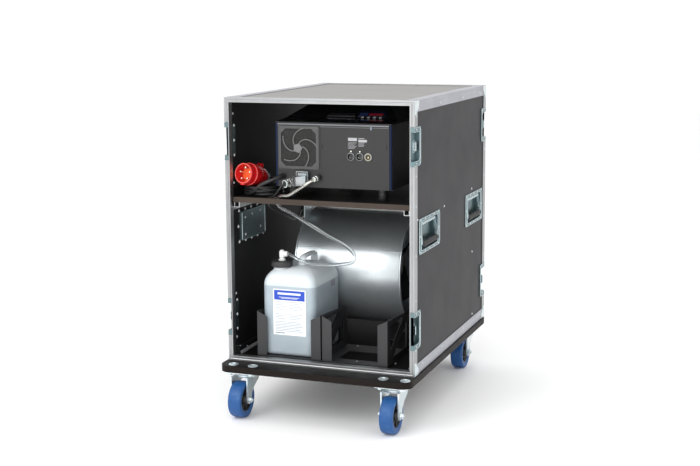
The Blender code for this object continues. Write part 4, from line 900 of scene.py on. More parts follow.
def latch_details():
    """The raised lip of each half dish, its keeper plate with a hook, and its rivets."""
    for end, forward in ENDS.items():
        for side, sign in SIDES.items():
            for level, height in LATCH_HEIGHTS.items():
                trim = bmesh.new()
                out = CASE_X + 0.0004
                low, high = height - 0.0495, height + 0.0495
                back = CASE_FRONT + 0.0500
                arc = rounded((CASE_FRONT - 0.05, back), (low, high), 0.012, 5)
                loop = [(out, y, z) for y, z in arc if y >= CASE_FRONT]
                loop = sorted(loop, key=lambda p: math.atan2(p[2] - height, p[1] - CASE_FRONT))
                loop = [(out, CASE_FRONT + 0.001, low)] + loop + [(out, CASE_FRONT + 0.001, high)]
                add_bead(trim, dedupe(loop), 0.0013, 6, closed=False)
                pocket = rounded((CASE_FRONT - 0.05, CASE_FRONT + 0.0442), (height - 0.0382, height + 0.0382),
                                 0.008, 5)
                inner = sorted([(out - 0.0004, y, z) for y, z in pocket if y >= CASE_FRONT],
                               key=lambda p: math.atan2(p[2] - height, p[1] - CASE_FRONT))
                inner = [(out - 0.0004, CASE_FRONT + 0.001, height - 0.0382)] + inner
                inner.append((out - 0.0004, CASE_FRONT + 0.001, height + 0.0382))
                add_bead(trim, dedupe(inner), 0.0010, 6, closed=False)
                hook = bmesh.new()
                add_prism(hook, rounded((CASE_FRONT + 0.010, CASE_FRONT + 0.030),
                                        (height - 0.017, height + 0.017), 0.004, 3),
                          "YZ", 0.2602, 0.2616)
                add_prism(hook, [(0.2612, height - 0.011), (0.2676, height - 0.011), (0.2676, height + 0.011),
                                 (0.2612, height + 0.011)],
                          "XZ", CASE_FRONT + 0.0125, CASE_FRONT + 0.0150)
                add_prism(hook, [(0.2658, height - 0.011), (0.2684, height - 0.011), (0.2684, height + 0.011),
                                 (0.2658, height + 0.011)],
                          "XZ", CASE_FRONT + 0.0125, CASE_FRONT + 0.0200)
                heads = bmesh.new()
                for y_in, lift in ((0.0470, 0.0440), (0.0470, 0.0), (0.0470, -0.0440), (0.018, 0.0440),
                                   (0.018, -0.0440)):
                    add_dome(heads, (CASE_X - 0.0001, CASE_FRONT + y_in, height + lift), (1, 0, 0), 0.0027,
                             0.0012)
                for source, label, material in ((trim, "lip", "dish_edge"), (hook, "keeper", "dish_edge"),
                                                (heads, "rivets", "rivet")):
                    at_edge(source, sign, forward)
                    piece(f"latch_{label}_{end}_{side}_{level}", source, material)


def dedupe(points):
    kept = []
    for point in points:
        if not kept or (Vector(point) - Vector(kept[-1])).length > 0.0004:
            kept.append(point)
    return kept


def handle_details():
    """The raised edge, hinge cover, rivets and back rivets of each handle dish, and its bail."""
    for end, y in HANDLE_YS.items():
        for side, sign in SIDES.items():
            face = PANEL_X + GAP + 0.0012
            trim = bmesh.new()
            loop = rounded((y - 0.0935, y + 0.0935), (HANDLE_Z - 0.0465, HANDLE_Z + 0.0465), 0.010, 5)
            add_bead(trim, [(face, a, b) for a, b in loop], 0.0014)
            loop = rounded((y - 0.0765, y + 0.0765), (HANDLE_Z - 0.0395, HANDLE_Z + 0.0395), 0.007, 5)
            add_bead(trim, [(face, a, b) for a, b in loop], 0.0013)
            for step in range(9):
                low = y - 0.062 + 0.0138 * step
                add_turned(trim, [(0.0052, 0.0), (0.0058, 0.001), (0.0058, 0.0118), (0.0052, 0.0128)],
                           (0.2620, low, HANDLE_Z + 0.0310), (0, 1, 0), 12)
            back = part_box(f"handle_dish_{end}_{side}")
            depth = min(abs(back[0].x), abs(back[1].x)) + 0.0002
            loop = rounded((y - 0.0765, y + 0.0765), (HANDLE_Z - 0.0395, HANDLE_Z + 0.0395), 0.005, 4)
            add_bead(trim, [(depth, a, b) for a, b in loop], 0.0010)
            backs = bmesh.new()
            for a, b in ((-0.055, 0.022), (-0.010, 0.026), (0.045, 0.028), (-0.055, -0.026), (0.045, -0.018)):
                add_dome(backs, (depth + 0.0002, y + a, HANDLE_Z + b), (-1, 0, 0), 0.0036, 0.0014)
            heads = bmesh.new()
            spots = [(a, 0.0430) for a in (-0.080, -0.040, 0.0, 0.040, 0.080)]
            spots += [(a, -0.0430) for a in (-0.080, -0.040, 0.0, 0.040, 0.080)]
            spots += [(a, 0.0) for a in (-0.0855, 0.0855)]
            for a, b in spots:
                add_dome(heads, (face - 0.0002, y + a, HANDLE_Z + b), (1, 0, 0), 0.0030, 0.0013)
                add_dome(backs, (WALL - 0.0001, y + a, HANDLE_Z + b * 1.02), (-1, 0, 0), 0.0046, 0.0020)
            # The back rivets inside the case take the pale copy of the rivet steel, painted light.
            for source, label, material in (
                (trim, "edge", "dish_edge"), (heads, "rivets", "rivet"), (backs, "back_rivets",
                                                                          "rivet_painted_light"),
            ):
                mirrored(source, Matrix.Diagonal((sign, 1, 1, 1)))
                piece(f"handle_{label}_{end}_{side}", source, material)
            handle_bail(end, side, sign, y)


def handle_bail(end, side, sign, y):
    """A bent round bar in its hinge, with a ribbed rubber grip on it."""
    body = f"bail_{end}_{side}"
    bar = bmesh.new()
    path = [(0.2620, y - 0.0760, 0.5450), (0.2620, y - 0.0712, 0.5450), (0.2628, y - 0.0700, 0.5400),
            (0.2650, y - 0.0700, 0.5200), (0.2672, y - 0.0700, 0.4990), (0.2680, y - 0.0680, 0.4920),
            (0.2680, y - 0.0600, 0.4900)]
    path += [(x, 2 * y - b, z) for x, b, z in reversed(path)]
    add_bead(bar, path, 0.0030, 10, closed=False)
    for way in (-1, 1):
        outline = [(0.2585, 0.5492), (0.2585, 0.5390), (0.2640, 0.4870), (0.2720, 0.4870), (0.2660, 0.5390),
                   (0.2655, 0.5492)]
        low, high = sorted((y + way * 0.0672, y + way * 0.0690))
        add_prism(bar, outline, "XZ", low, high)
    mirrored(bar, Matrix.Diagonal((sign, 1, 1, 1)))
    bar_item = piece(f"bail_bar_{end}_{side}", bar, "dish_edge", body)
    grip = bmesh.new()
    profile = [(0.0062, -0.0655), (0.0078, -0.0645)]
    for step in range(24):
        start = -0.062 + step * 0.0052
        profile += [(0.0080, start), (0.0080, start + 0.0032), (0.0072, start + 0.0038),
                    (0.0072, start + 0.0048)]
    profile += [(0.0078, 0.0645), (0.0062, 0.0655)]
    add_turned(grip, profile, (0.2680, y, 0.4900), (0, 1, 0), 18)
    mirrored(grip, Matrix.Diagonal((sign, 1, 1, 1)))
    piece(f"bail_grip_{end}_{side}", grip, "grip", body)
    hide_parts(f"handle_bail_{end}_{side}")


def floor_battens():
    """Battens along the foot of both walls, each with two screws, in the inside laminate's painted shade."""
    shape = bmesh.new()
    heads = bmesh.new()
    for sign in SIDES.values():
        low, high = sorted((sign * 0.2490, sign * (WALL - GAP)))
        add_box(shape, (low, CASE_FRONT + 0.024, FLOOR + GAP), (high, CASE_BACK - 0.024, 0.1790))
        add_dome(heads, (sign * 0.2490, -0.2500, 0.1690), (-sign, 0, 0), 0.0032, 0.0014)
        add_dome(heads, (sign * 0.2535, -0.2885, 0.1790), (0, 0, 1), 0.0032, 0.0014)
    piece("floor_battens", shape, "inside", bevel=0.0008)
    piece("batten_screws", heads, "rivet")


def board_bolts():
    """The round heads of the castor bolts, let into the board's top at its front corners."""
    shape = bmesh.new()
    for x in (-0.238, -0.180, 0.196, 0.2565):
        profile = [(0.0138, -0.0004), (0.0138, 0.0008), (0.0125, 0.0018), (0.0072, 0.0024), (0.0066, 0.0024),
                   (0.0060, 0.0010), (0.0, 0.0010)]
        add_turned(shape, profile, (x, -0.3640, BOARD_TOP + 0.0002), (0, 0, 1), 20)
    piece("board_bolt_heads", shape, "zinc")


# ---- castors ---------------------------------------------------------------------------


def castors():
    for name, x, y in (("fl", -0.2175, -0.363), ("fr", 0.2175, -0.363), ("rl", -0.2175, 0.315),
                       ("rr", 0.2175, 0.315)):
        centre = (x, y, 0.05)
        tyre = bmesh.new()
        profile = [(0.0330, 0.0165), (0.0400, 0.0186), (0.0445, 0.0190), (0.0478, 0.0178), (0.0494, 0.0150),
                   (0.0500, 0.0100), (0.0500, -0.0100), (0.0494, -0.0150), (0.0478, -0.0178), (0.0445,
                                                                                               -0.0190),
                   (0.0400, -0.0186), (0.0330, -0.0165)]
        add_turned(tyre, profile, centre, (1, 0, 0), 64, closed=True)
        tyre_item = piece("tyre_" + name, tyre, "tyre", "wheel_" + name)
        hub = bmesh.new()
        profile = [(0.0066, 0.0212), (0.0130, 0.0212), (0.0145, 0.0185), (0.0160, 0.0105), (0.0285, 0.0105),
                   (0.0310, 0.0160), (0.0333, 0.0160), (0.0333, -0.0160), (0.0310, -0.0160), (0.0285,
                                                                                              -0.0105),
                   (0.0160, -0.0105), (0.0145, -0.0185), (0.0130, -0.0212), (0.0066, -0.0212)]
        add_turned(hub, profile, centre, (1, 0, 0), 48, closed=True)
        for side in (-1, 1):
            for step in range(6):
                spoke = bmesh.new()
                low, high = sorted((side * 0.0100, side * 0.0150))
                add_box(spoke, (low, -0.0022, 0.0140), (high, 0.0022, 0.0310))
                turn = Matrix.Rotation(math.tau * step / 6, 4, "X")
                mirrored(spoke, Matrix.Translation(centre) @ turn)
                merge(spoke, hub)
        piece("wheel_hub_" + name, hub, "hub", "wheel_" + name)
        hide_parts("caster_wheel_" + name)
        axle = bmesh.new()
        for side in (-1, 1):
            start = (x + side * 0.0262, y, 0.05)
            add_turned(axle, [(0.0095, 0.0), (0.0100, 0.0006), (0.0100, 0.0012)], start, (side, 0, 0), 20)
            add_turned(axle, [(0.0080, 0.0012), (0.0080, 0.0058), (0.0068, 0.0070)], start, (side, 0, 0), 6)
            add_turned(axle, [(0.0042, 0.0070), (0.0042, 0.0092), (0.0030, 0.0098)], start, (side, 0, 0), 12)
        swivel_y = y + 0.038
        add_turned(axle, [(0.0312, 0.0), (0.0322, -0.0012), (0.0322, -0.0060), (0.0300, -0.0082)],
                   (x, swivel_y, 0.1153), (0, 0, 1), 36)
        piece("fork_fittings_" + name, axle, "zinc", "fork_" + name, bevel=0.0002)
        bolts = bmesh.new()
        for dx in (-0.030, 0.030):
            for dy in (-0.040, 0.040):
                spot = (x + dx, swivel_y + dy, 0.1237)
                add_turned(bolts, [(0.0082, 0.0), (0.0082, -0.0014)], spot, (0, 0, 1), 20)
                add_turned(bolts, [(0.0068, -0.0014), (0.0068, -0.0062), (0.0058, -0.0070)], spot, (0, 0, 1),
                           6)
        piece("plate_bolts_" + name, bolts, "zinc")


# ---- machine ---------------------------------------------------------------------------

FAN = (-0.066, 0.7425)


def spiral_points(turn):
    points = []
    for step in range(17):
        share = step / 16
        radius = 0.0100 + 0.0440 * share
        angle = turn - math.radians(82) * share
        points.append((FAN[0] + radius * math.cos(angle), FAN[1] + radius * math.sin(angle)))
    return points


def make_guard():
    """The square fan guard: chamfered opening, hub, five curved arms, filter foam, and a black plate behind
    it, reaching further right and down, as its painted shadow.
    """
    half = 0.059
    outer = rounded((FAN[0] - half, FAN[0] + half), (FAN[1] - half, FAN[1] + half), 0.007, 4)
    hole = 0.0505
    chamfer = 0.013
    ring = []
    for dx, dz in ((1, 1), (-1, 1), (-1, -1), (1, -1)):
        pair = [(FAN[0] + dx * hole, FAN[1] + dz * (hole - chamfer)),
                (FAN[0] + dx * (hole - chamfer), FAN[1] + dz * hole)]
        ring += pair if dx * dz > 0 else pair[::-1]
    inner = []
    for index, (a, b) in enumerate(ring):
        after = ring[(index + 1) % len(ring)]
        share = 3 if index % 2 == 0 else 2
        inner += [(a + (after[0] - a) * k / share, b + (after[1] - b) * k / share) for k in range(share)]
    shape = bmesh.new()
    front, back = FRONT_Y - 0.0038, FRONT_Y - 0.0006
    rows = []
    for scale, loop, depth in ((0.0, outer, back), (0.0, outer, front + 0.0012), (0.0012, outer, front)):
        rows.append([(a - scale * math.copysign(1, a - FAN[0]), depth,
                      b - scale * math.copysign(1, b - FAN[1])) for a, b in loop])
    for depth in (front, back):
        rows.append([(a, depth, b) for a, b in inner])
    add_rings(shape, rows, closed=True)
    frame_item = piece("guard_frame", shape, "guard", bevel=0.0)
    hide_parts("fan_guard")
    arms = bmesh.new()
    for index in range(5):
        path = [(a, FRONT_Y - 0.0026, b) for a, b in spiral_points(math.radians(72 * index + 84))]
        add_bead(arms, path, 0.0016, 8, closed=False)
    profile = [(0.0140, 0.0), (0.0140, 0.0022), (0.0128, 0.0030), (0.0, 0.0032)]
    add_turned(arms, profile, (FAN[0] - 0.0025, FRONT_Y - 0.0010, FAN[1] - 0.002), (0, -1, 0), 5)
    piece("guard_arms", arms, "guard_arm", bevel=0.0004)
    filter_pad = bmesh.new()
    pad = rounded((FAN[0] - 0.053, FAN[0] + 0.053), (FAN[1] - 0.053, FAN[1] + 0.053), 0.004, 2)
    add_prism(filter_pad, pad, "XZ", FRONT_Y - 0.0014, FRONT_Y - 0.0002)
    piece("guard_filter", filter_pad, "foam")
    # Painted shadow: a black plate, reaching further right and down than the guard, stands for the shadow it
    # casts.
    base = bmesh.new()
    near, far = half + 0.0008, half + 0.0042
    outline = rounded((FAN[0] - near, FAN[0] + far), (FAN[1] - far, FAN[1] + near), 0.009, 4)
    add_prism(base, outline, "XZ", FRONT_Y - 0.0009, FRONT_Y - 0.0002)
    piece("guard_painted_shadow", base, "black")


def panel_details():
    """Sockets, blank print, screws, the folded top edge and the coloured side folds."""
    rings = bmesh.new()
    for x in (0.0827, 0.1077, 0.1318):
        add_turned(rings, [(0.0108, 0.0), (0.0108, 0.0012), (0.0100, 0.0018), (0.0090, 0.0018),
                           (0.0088, 0.0)],
                   (x, FRONT_Y - 0.0014, 0.7227), (0, -1, 0), 32, closed=True)
    piece("socket_rings", rings, "trim")
    inserts = bmesh.new()
    for x in (0.0827, 0.1077):
        add_turned(inserts, [(0.0082, 0.0), (0.0082, 0.0010), (0.0072, 0.0014), (0.0, 0.0014)],
                   (x, FRONT_Y + 0.0036, 0.7227), (0, -1, 0), 24)
        add_box(inserts, (x - 0.0030, FRONT_Y - 0.0026, 0.7296), (x + 0.0030, FRONT_Y + 0.0004, 0.7316))
    piece("socket_inserts", inserts, "black")
    pins = bmesh.new()
    for x in (0.0827, 0.1077):
        for step in range(5):
            angle = math.radians(198 + 36 * step)
            spot = (x + 0.0048 * math.cos(angle), FRONT_Y + 0.0024, 0.7227 + 0.0048 * math.sin(angle))
            add_turned(pins, [(0.0008, 0.0), (0.0008, 0.0022), (0.0004, 0.0026)], spot, (0, -1, 0), 8)
        add_dome(pins, (x, FRONT_Y, 0.7360), (0, -1, 0), 0.0022, 0.0006)
    piece("socket_pins", pins, "pin")
    third = bmesh.new()
    add_turned(third, [(0.0102, 0.0), (0.0102, 0.0024), (0.0092, 0.0032), (0.0078, 0.0032), (0.0068, 0.0018),
                       (0.0062, -0.0050)],
               (0.1318, FRONT_Y - 0.0012, 0.7227), (0, -1, 0), 32)
    piece("round_socket_ring", third, "cream")
    bore = bmesh.new()
    add_turned(bore, [(0.0066, 0.0), (0.0064, 0.0006), (0.0052, 0.0009), (0.0, 0.0009)],
               (0.1318, FRONT_Y - 0.0038, 0.7227), (0, -1, 0), 24)
    piece("round_socket_face", bore, "black")
    core = bmesh.new()
    add_dome(core, (0.1330, FRONT_Y - 0.0047, 0.7217), (0, -1, 0), 0.0026, 0.0012)
    piece("round_socket_core", core, "brass")
    prints = bmesh.new()
    bars = ((0.075, 0.100, 0.7640, 0.7725), (0.104, 0.128, 0.7615, 0.7680), (0.104, 0.121, 0.7705, 0.7720))
    for low, high, bottom, top in bars:
        add_box(prints, (low, FRONT_Y - 0.00025, bottom), (high, FRONT_Y - 0.00002, top))
    for row in range(6):
        height = 0.7590 - 0.0030 * row
        add_box(prints, (0.075, FRONT_Y - 0.0002, height), (0.099 - 0.003 * (row % 3), FRONT_Y - 0.00002,
                                                            height + 0.0009))
        if row < 4:
            add_box(prints, (0.104, FRONT_Y - 0.0002, height),
                    (0.121 - 0.002 * (row % 2), FRONT_Y - 0.00002, height + 0.0009))
    piece("panel_print", prints, "pale_print")
    fold = bmesh.new()
    low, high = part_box("machine_front_panel")
    add_prism(fold, [(FRONT_Y - 0.0010, 0.8035), (FRONT_Y - 0.0003, 0.8030), (FRONT_Y - 0.0003, 0.8072),
                     (FRONT_Y - 0.0010, 0.8066)],
              "YZ", low.x + 0.001, high.x - 0.001)
    add_prism(fold, [(FRONT_Y - 0.0008, 0.7990), (FRONT_Y - 0.0003, 0.7985), (FRONT_Y - 0.0003, 0.8003),
                     (FRONT_Y - 0.0008, 0.7998)],
              "YZ", low.x + 0.001, high.x - 0.001)
    piece("front_fold", fold, "trim")
    clip = bmesh.new()
    add_prism(clip, rounded((0.1382, 0.1418), (0.7935, 0.8030), 0.0012, 3), "XZ", FRONT_Y - 0.0022,
              FRONT_Y - 0.0006)
    piece("panel_clip", clip, "label_ink", bevel=0.0004)
    edges = bmesh.new()
    body_low, body_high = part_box("machine_body")
    for start, end in ((body_low.x + 0.0002, low.x - 0.0003), (high.x + 0.0003, body_high.x - 0.0002)):
        add_box(edges, (start, FRONT_Y + 0.0006, 0.6365), (end, FRONT_Y + 0.0076, 0.8070))
    piece("side_folds", edges, "blue_edge", bevel=0.0008)
    screws = bmesh.new()
    for x, z in ((-0.121, 0.6440), (0.183, 0.6440), (0.060, 0.6400), (-0.040, 0.6400)):
        add_dome(screws, (x, FRONT_Y - 0.0001, z), (0, -1, 0), 0.0024, 0.0010)
    piece("panel_screws", screws, "black")
    slots = bmesh.new()
    for x, z in ((0.0035, 0.7475), (0.185, 0.750)):
        add_box(slots, (x - 0.0024, FRONT_Y + 0.0016, z - 0.0054), (x + 0.0024, FRONT_Y + 0.0030, z + 0.0054))
    piece("panel_slots", slots, "black")


def on_slope(x, along, lift):
    """A point on the hood's front slope: along runs up it from its foot."""
    foot = Vector((x, -0.224, 0.818))
    return foot + along * Vector((0, 0.8878, 0.4603)) + lift * Vector((0, -0.4603, 0.8878))


def add_slope_plate(shape, x_range, along_range, low, high):
    rings = []
    for lift in (low, high):
        rings.append([on_slope(x, along, lift) for x, along in (
            (x_range[0], along_range[0]), (x_range[1], along_range[0]), (x_range[1],
                                                                         along_range[1]), (x_range[0],
                                                                                           along_range[1]))])
    add_rings(shape, rings)


def hood_details():
    """The control field, its display, icons and button rings, and the handle slit."""
    field = bmesh.new()
    add_slope_plate(field, (0.073, 0.150), (0.0092, 0.0400), 0.0001, 0.0008)
    piece("control_field", field, "display", bevel=0.0003)
    digits = bmesh.new()
    for index in range(8):
        left = 0.1045 + 0.0050 * index
        add_slope_plate(digits, (left, left + 0.0038), (0.0150, 0.0255), 0.0008, 0.0011)
    piece("display_digits", digits, "red_digit")
    icons = bmesh.new()
    for index in range(3):
        left = 0.0775 + 0.0080 * index
        add_slope_plate(icons, (left, left + 0.0055), (0.0150, 0.0200), 0.0008, 0.0011)
        add_slope_plate(icons, (left, left + 0.0055), (0.0235, 0.0265), 0.0008, 0.0011)
    piece("display_icons", icons, "blue_icon")
    for number, x in enumerate((0.090, 0.107, 0.124, 0.141), 1):
        cap = bmesh.new()
        origin = Vector((x, -0.2205, 0.8198)) + 0.0015 * Vector((0, -0.4603, 0.8878))
        profile = [(0.0044, 0.0), (0.0044, 0.0005), (0.0036, 0.0010), (0.0030, 0.0008), (0.0, 0.0008)]
        add_turned(cap, profile, origin, (0, -0.4603, 0.8878), 20)
        piece(f"button_cap_{number}", cap, "pale_print", f"button_{number}")
    slit = bmesh.new()
    add_slope_plate(slit, (-0.014, 0.066), (0.0095, 0.0110), 0.0001, 0.0010)
    piece("hood_slit", slit, "trim", bevel=0.0002)
    shade = bmesh.new()
    add_slope_plate(shade, (-0.012, 0.064), (0.0115, 0.0250), 0.0001, 0.0004)
    piece("hood_slit_shade", shade, "black")


def rubber_feet():
    """Rubber sleeves with a washer step round the machine's feet."""
    shape = bmesh.new()
    for x in (-0.098, 0.160):
        for y in (-0.258, 0.236):
            profile = [(0.0130, 0.0), (0.0140, 0.0015), (0.0140, 0.0120), (0.0128, 0.0135), (0.0128, 0.0240),
                       (0.0136, 0.0250), (0.0136, 0.0305)]
            add_turned(shape, profile, (x, y, SHELF_TOP + GAP), (0, 0, 1), 24)
    piece("foot_sleeves", shape, "black")


def rear_details():
    """The nozzle's ring, a vent field and the screws on the machine's back."""
    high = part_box("machine_body")[1]
    shape = bmesh.new()
    add_turned(shape, [(0.0142, 0.0), (0.0230, 0.0), (0.0230, 0.0016), (0.0200, 0.0024), (0.0142, 0.0024)],
               (0.031, high.y, 0.720), (0, 1, 0), 32, closed=True)
    for dx, dz in ((-1, -1), (1, -1), (-1, 1), (1, 1)):
        add_dome(shape, (0.031 + 0.0135 * dx, high.y + 0.0018, 0.720 + 0.0135 * dz), (0, 1, 0), 0.0020,
                 0.0012)
        add_dome(shape, (0.031 + 0.155 * dx, high.y, 0.722 + 0.075 * dz), (0, 1, 0), 0.0028, 0.0012)
    piece("nozzle_ring", shape, "nickel")
    vents = bmesh.new()
    for row in range(6):
        for x in (-0.085, 0.147):
            middle = 0.690 + 0.012 * row
            add_prism(vents, rounded((x - 0.024, x + 0.024), (middle - 0.0018, middle + 0.0018), 0.0017, 3),
                      "XZ", high.y + 0.0001, high.y + 0.0007)
    piece("rear_vents", vents, "black")


# ---- canister and rack -----------------------------------------------------------------

LIQUID_LEVEL = 0.356


def canister_ring(height, inset, radius):
    low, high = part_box("canister")
    loop = rounded((low.x + inset, high.x - inset), (low.y + inset, high.y - inset), radius, 6)
    return [(x, y, height) for x, y in loop]


def make_canister():
    """The blow-moulded vessel: rounded shoulders, a neck, and a moulded handle."""
    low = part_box("canister")[0]
    top = 0.4025
    rise = top - LIQUID_LEVEL
    rings = [canister_ring(low.z, 0.010, 0.012), canister_ring(low.z + 0.002, 0.004, 0.016),
             canister_ring(low.z + 0.007, 0.0006, 0.020), canister_ring(low.z + 0.012, 0.0, 0.021)]
    for height in (0.200, 0.240, 0.280, 0.320, LIQUID_LEVEL - 0.008):
        rings.append(canister_ring(height, 0.0, 0.021))
    for step in range(9):
        angle = math.radians(90 * step / 8)
        rings.append(canister_ring(LIQUID_LEVEL + rise * math.sin(angle), rise * (1 - math.cos(angle)),
                                   0.021))
    shape = bmesh.new()
    add_rings(shape, rings)
    vessel = piece("canister_vessel", shape, "vessel", angle=60)
    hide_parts("canister")
    neck = bmesh.new()
    add_turned(neck, [(0.0260, 0.385), (0.0250, 0.394), (0.0228, 0.397), (0.0228, 0.4150), (0.0195, 0.4150),
                      (0.0195, 0.385)],
               (-0.1435, -0.238, 0.0), (0, 0, 1), 32, closed=True)
    piece("canister_neck", neck, "vessel")
    grip = bmesh.new()
    rows = []
    path = smooth([(-0.100, -0.199, 0.396), (-0.100, -0.1985, 0.412), (-0.100, -0.190, 0.4225),
                   (-0.100, -0.1525, 0.4240), (-0.100, -0.115, 0.4225),
                   (-0.100, -0.1065, 0.412), (-0.100, -0.106, 0.396)], 4)
    for index, point in enumerate(path):
        ahead = path[min(index + 1, len(path) - 1)] - path[max(index - 1, 0)]
        across = Vector((1, 0, 0))
        up = ahead.normalized().cross(across)
        rows.append([point + 0.0105 * math.cos(a) * across + 0.0055 * math.sin(a) * up
                     for a in [math.tau * k / 12 for k in range(12)]])
    add_rings(grip, rows)
    piece("canister_handle", grip, "vessel")
    seam = bmesh.new()
    add_bead(seam, [(-0.108, low.y + 0.006, 0.372), (-0.108, low.y + 0.017, 0.389),
                    (-0.108, low.y + 0.0345, 0.4000)], 0.0005, 6, closed=False)
    piece("canister_seam", seam, "vessel")


def make_label():
    """A blank front label with a coloured header and rows of tone, and a small side label."""
    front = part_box("canister")[0].y
    paper = bmesh.new()
    add_prism(paper, rounded((-0.152, -0.055), (0.219, 0.348), 0.002, 3), "XZ", front - 0.0004,
              front - 0.0001)
    piece("label_paper", paper, "label")
    header = bmesh.new()
    add_box(header, (-0.149, front - 0.0006, 0.3175), (-0.058, front - 0.0003, 0.3450))
    piece("label_header", header, "label_blue")
    title = bmesh.new()
    for low, high, bottom, top in ((-0.138, -0.070, 0.3330, 0.3385), (-0.134, -0.074, 0.3250, 0.3262),
                                   (-0.128, -0.080, 0.3222, 0.3234)):
        add_box(title, (low, front - 0.0008, bottom), (high, front - 0.0005, top))
    piece("label_title", title, "label")
    ink = bmesh.new()
    for row in range(20):
        height = 0.3120 - 0.0043 * row
        if row in (6, 7, 12):
            continue
        for start, end in (((-0.146, -0.110), (-0.104, -0.064)) if row < 12 else ((-0.146, -0.062),)):
            trim = 0.004 * ((row * 7) % 4)
            add_box(ink, (start, front - 0.0006, height), (end - trim, front - 0.0003, height + 0.0012))
    add_box(ink, (-0.146, front - 0.0006, 0.2235), (-0.118, front - 0.0003, 0.2262))
    piece("label_lines", ink, "label_ink")
    side_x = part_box("canister")[1].x
    side = bmesh.new()
    outline = [(-0.158, 0.3540), (-0.126, 0.3540), (-0.126, 0.3360), (-0.158, 0.3360)]
    add_prism(side, outline, "YZ", side_x + 0.0001, side_x + 0.0004)
    piece("side_label", side, "label_grey")


def make_cap():
    """The ribbed screw cap with its tamper ring."""
    cap_low, cap_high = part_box("canister_cap")
    centre = Vector((-0.1435, -0.238, 0.0))
    shape = bmesh.new()
    rings = []
    for radius, height, wave in (
            (0.0287, cap_low.z, 0.0), (0.0296, cap_low.z + 0.0008, 0.022),
            (0.0296, cap_high.z - 0.0032, 0.022), (0.0290, cap_high.z - 0.0014, 0.0),
            (0.0270, cap_high.z, 0.0), (0.0085, cap_high.z, 0.0),
            (0.0085, cap_low.z + 0.012, 0.0), (0.0236, cap_low.z + 0.012, 0.0),
            (0.0236, cap_low.z, 0.0)):
        rings.append(ring_points(centre + Vector((0, 0, height)), (0, 0, 1), radius, 144, 0.0, wave, 36))
    add_rings(shape, rings, closed=True)
    cap = piece("cap_ribbed", shape, "cap", "cap")
    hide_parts("canister_cap")


def make_elbow():
    """The white push fitting in the cap, with a hexagon, a collet and the hose's clear arm."""
    x, y = -0.1435, -0.238
    shape = bmesh.new()
    profile = [(0.0080, 0.4120), (0.0080, 0.4196), (0.0098, 0.4197), (0.0098, 0.4225),
               (0.0072, 0.4232), (0.0064, 0.4270), (0.0078, 0.4285), (0.0078, 0.4440),
               (0.0066, 0.4465), (0.0050, 0.4474), (0.0050, 0.4488), (0.0, 0.4489)]
    add_turned(shape, profile, (x, y, 0.0), (0, 0, 1), 24)
    arm = [(0.0062, 0.0), (0.0072, 0.006), (0.0076, 0.0085), (0.0076, 0.0150), (0.0066, 0.0168),
           (0.0052, 0.0168), (0.0052, 0.0120), (0.0, 0.0120)]
    add_turned(shape, arm, (x, y, 0.438), (1, 0, 0), 20)
    add_turned(shape, [(0.0092, 0.4197), (0.0092, 0.4222)], (x, y, 0.0), (0, 0, 1), 6)
    add_turned(shape, [(0.0040, 0.1700), (0.0040, 0.4130)], (x, y, 0.0), (0, 0, 1), 16)
    fitting = piece("push_fitting", shape, "white", bevel=0.0002)
    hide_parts("hose_elbow")


def rack_details():
    """Screws through the tray and the floor around the rack."""
    shape = bmesh.new()
    tray = FLOOR + 0.0023
    for x, y, z in ((0.089, -0.2720, tray), (0.035, -0.120, tray), (0.150, -0.120, tray),
                    (-0.100, -0.2720, tray),
                    (0.192, -0.251, FLOOR + 0.0002), (0.165, -0.290, tray)):
        add_dome(shape, (x, y, z), (0, 0, 1), 0.0036, 0.0016)
    piece("rack_screws", shape, "rivet")


# ---- tube ------------------------------------------------------------------------------


def make_tube():
    """The rolled sheet tube with its beaded ends, lock seam, feet and bracket."""
    middle = Vector((0.0, 0.088, 0.356))
    left, right = -0.175, 0.150
    shape = bmesh.new()
    profile = [(0.1640, left), (0.1680, left), (0.1697, left + 0.0012), (0.1700, left + 0.0026),
               (0.1692, left + 0.0044),
               (0.1668, left + 0.0056), (0.1660, left + 0.0075)]
    profile += [(0.1660, left + 0.05 * step) for step in range(1, 6)]
    profile += [(0.1660, right - 0.0075), (0.1668, right - 0.0056), (0.1692, right - 0.0044),
                (0.1700, right - 0.0026),
                (0.1697, right - 0.0012), (0.1680, right), (0.1640, right)]
    add_turned(shape, profile, middle, (1, 0, 0), 128, closed=True)
    tube = piece("tube_skin", shape, "galvanised")
    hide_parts("fan_tube")
    feet = bmesh.new()
    low = FLOOR + GAP
    for x in (-0.120, 0.095):
        outline = [(0.088 - 0.105, low), (0.088 + 0.105, low)]
        outline += [(0.088 + 0.1664 * math.sin(a), 0.356 - 0.1664 * math.cos(a))
                    for a in [math.radians(39 - 78 * step / 16) for step in range(17)]]
        add_prism(feet, outline, "YZ", x - 0.0015, x + 0.0015)
        add_box(feet, (x - 0.015, 0.088 - 0.105, low), (x + 0.015, 0.088 + 0.105, low + 0.003))
    piece("tube_feet", feet, "motor", bevel=0.0004)
    bracket = bmesh.new()
    add_prism(bracket, [(0.0, 0.499), (0.040, 0.515), (0.040, 0.542), (0.0, 0.542)], "YZ", left + 0.0005,
              left + 0.0035)
    add_box(bracket, (left + 0.0030, 0.002, 0.5390), (left + 0.028, 0.038, 0.5420))
    for y in (0.010, 0.030):
        add_turned(bracket, [(0.0040, 0.0), (0.0040, 0.0022), (0.0030, 0.0030)], (left + 0.018, y, 0.5420),
                   (0, 0, 1), 6)
    piece("tube_bracket", bracket, "zinc", bevel=0.0003)
    seam = bmesh.new()
    angle = math.radians(205)
    spot = [(x, middle.y + 0.1662 * math.cos(angle),
             middle.z - 0.1662 * math.sin(angle)) for x in (left + 0.008, right - 0.008)]
    add_bead(seam, spot, 0.0012, 8, closed=False)
    piece("tube_seam", seam, "galvanised")


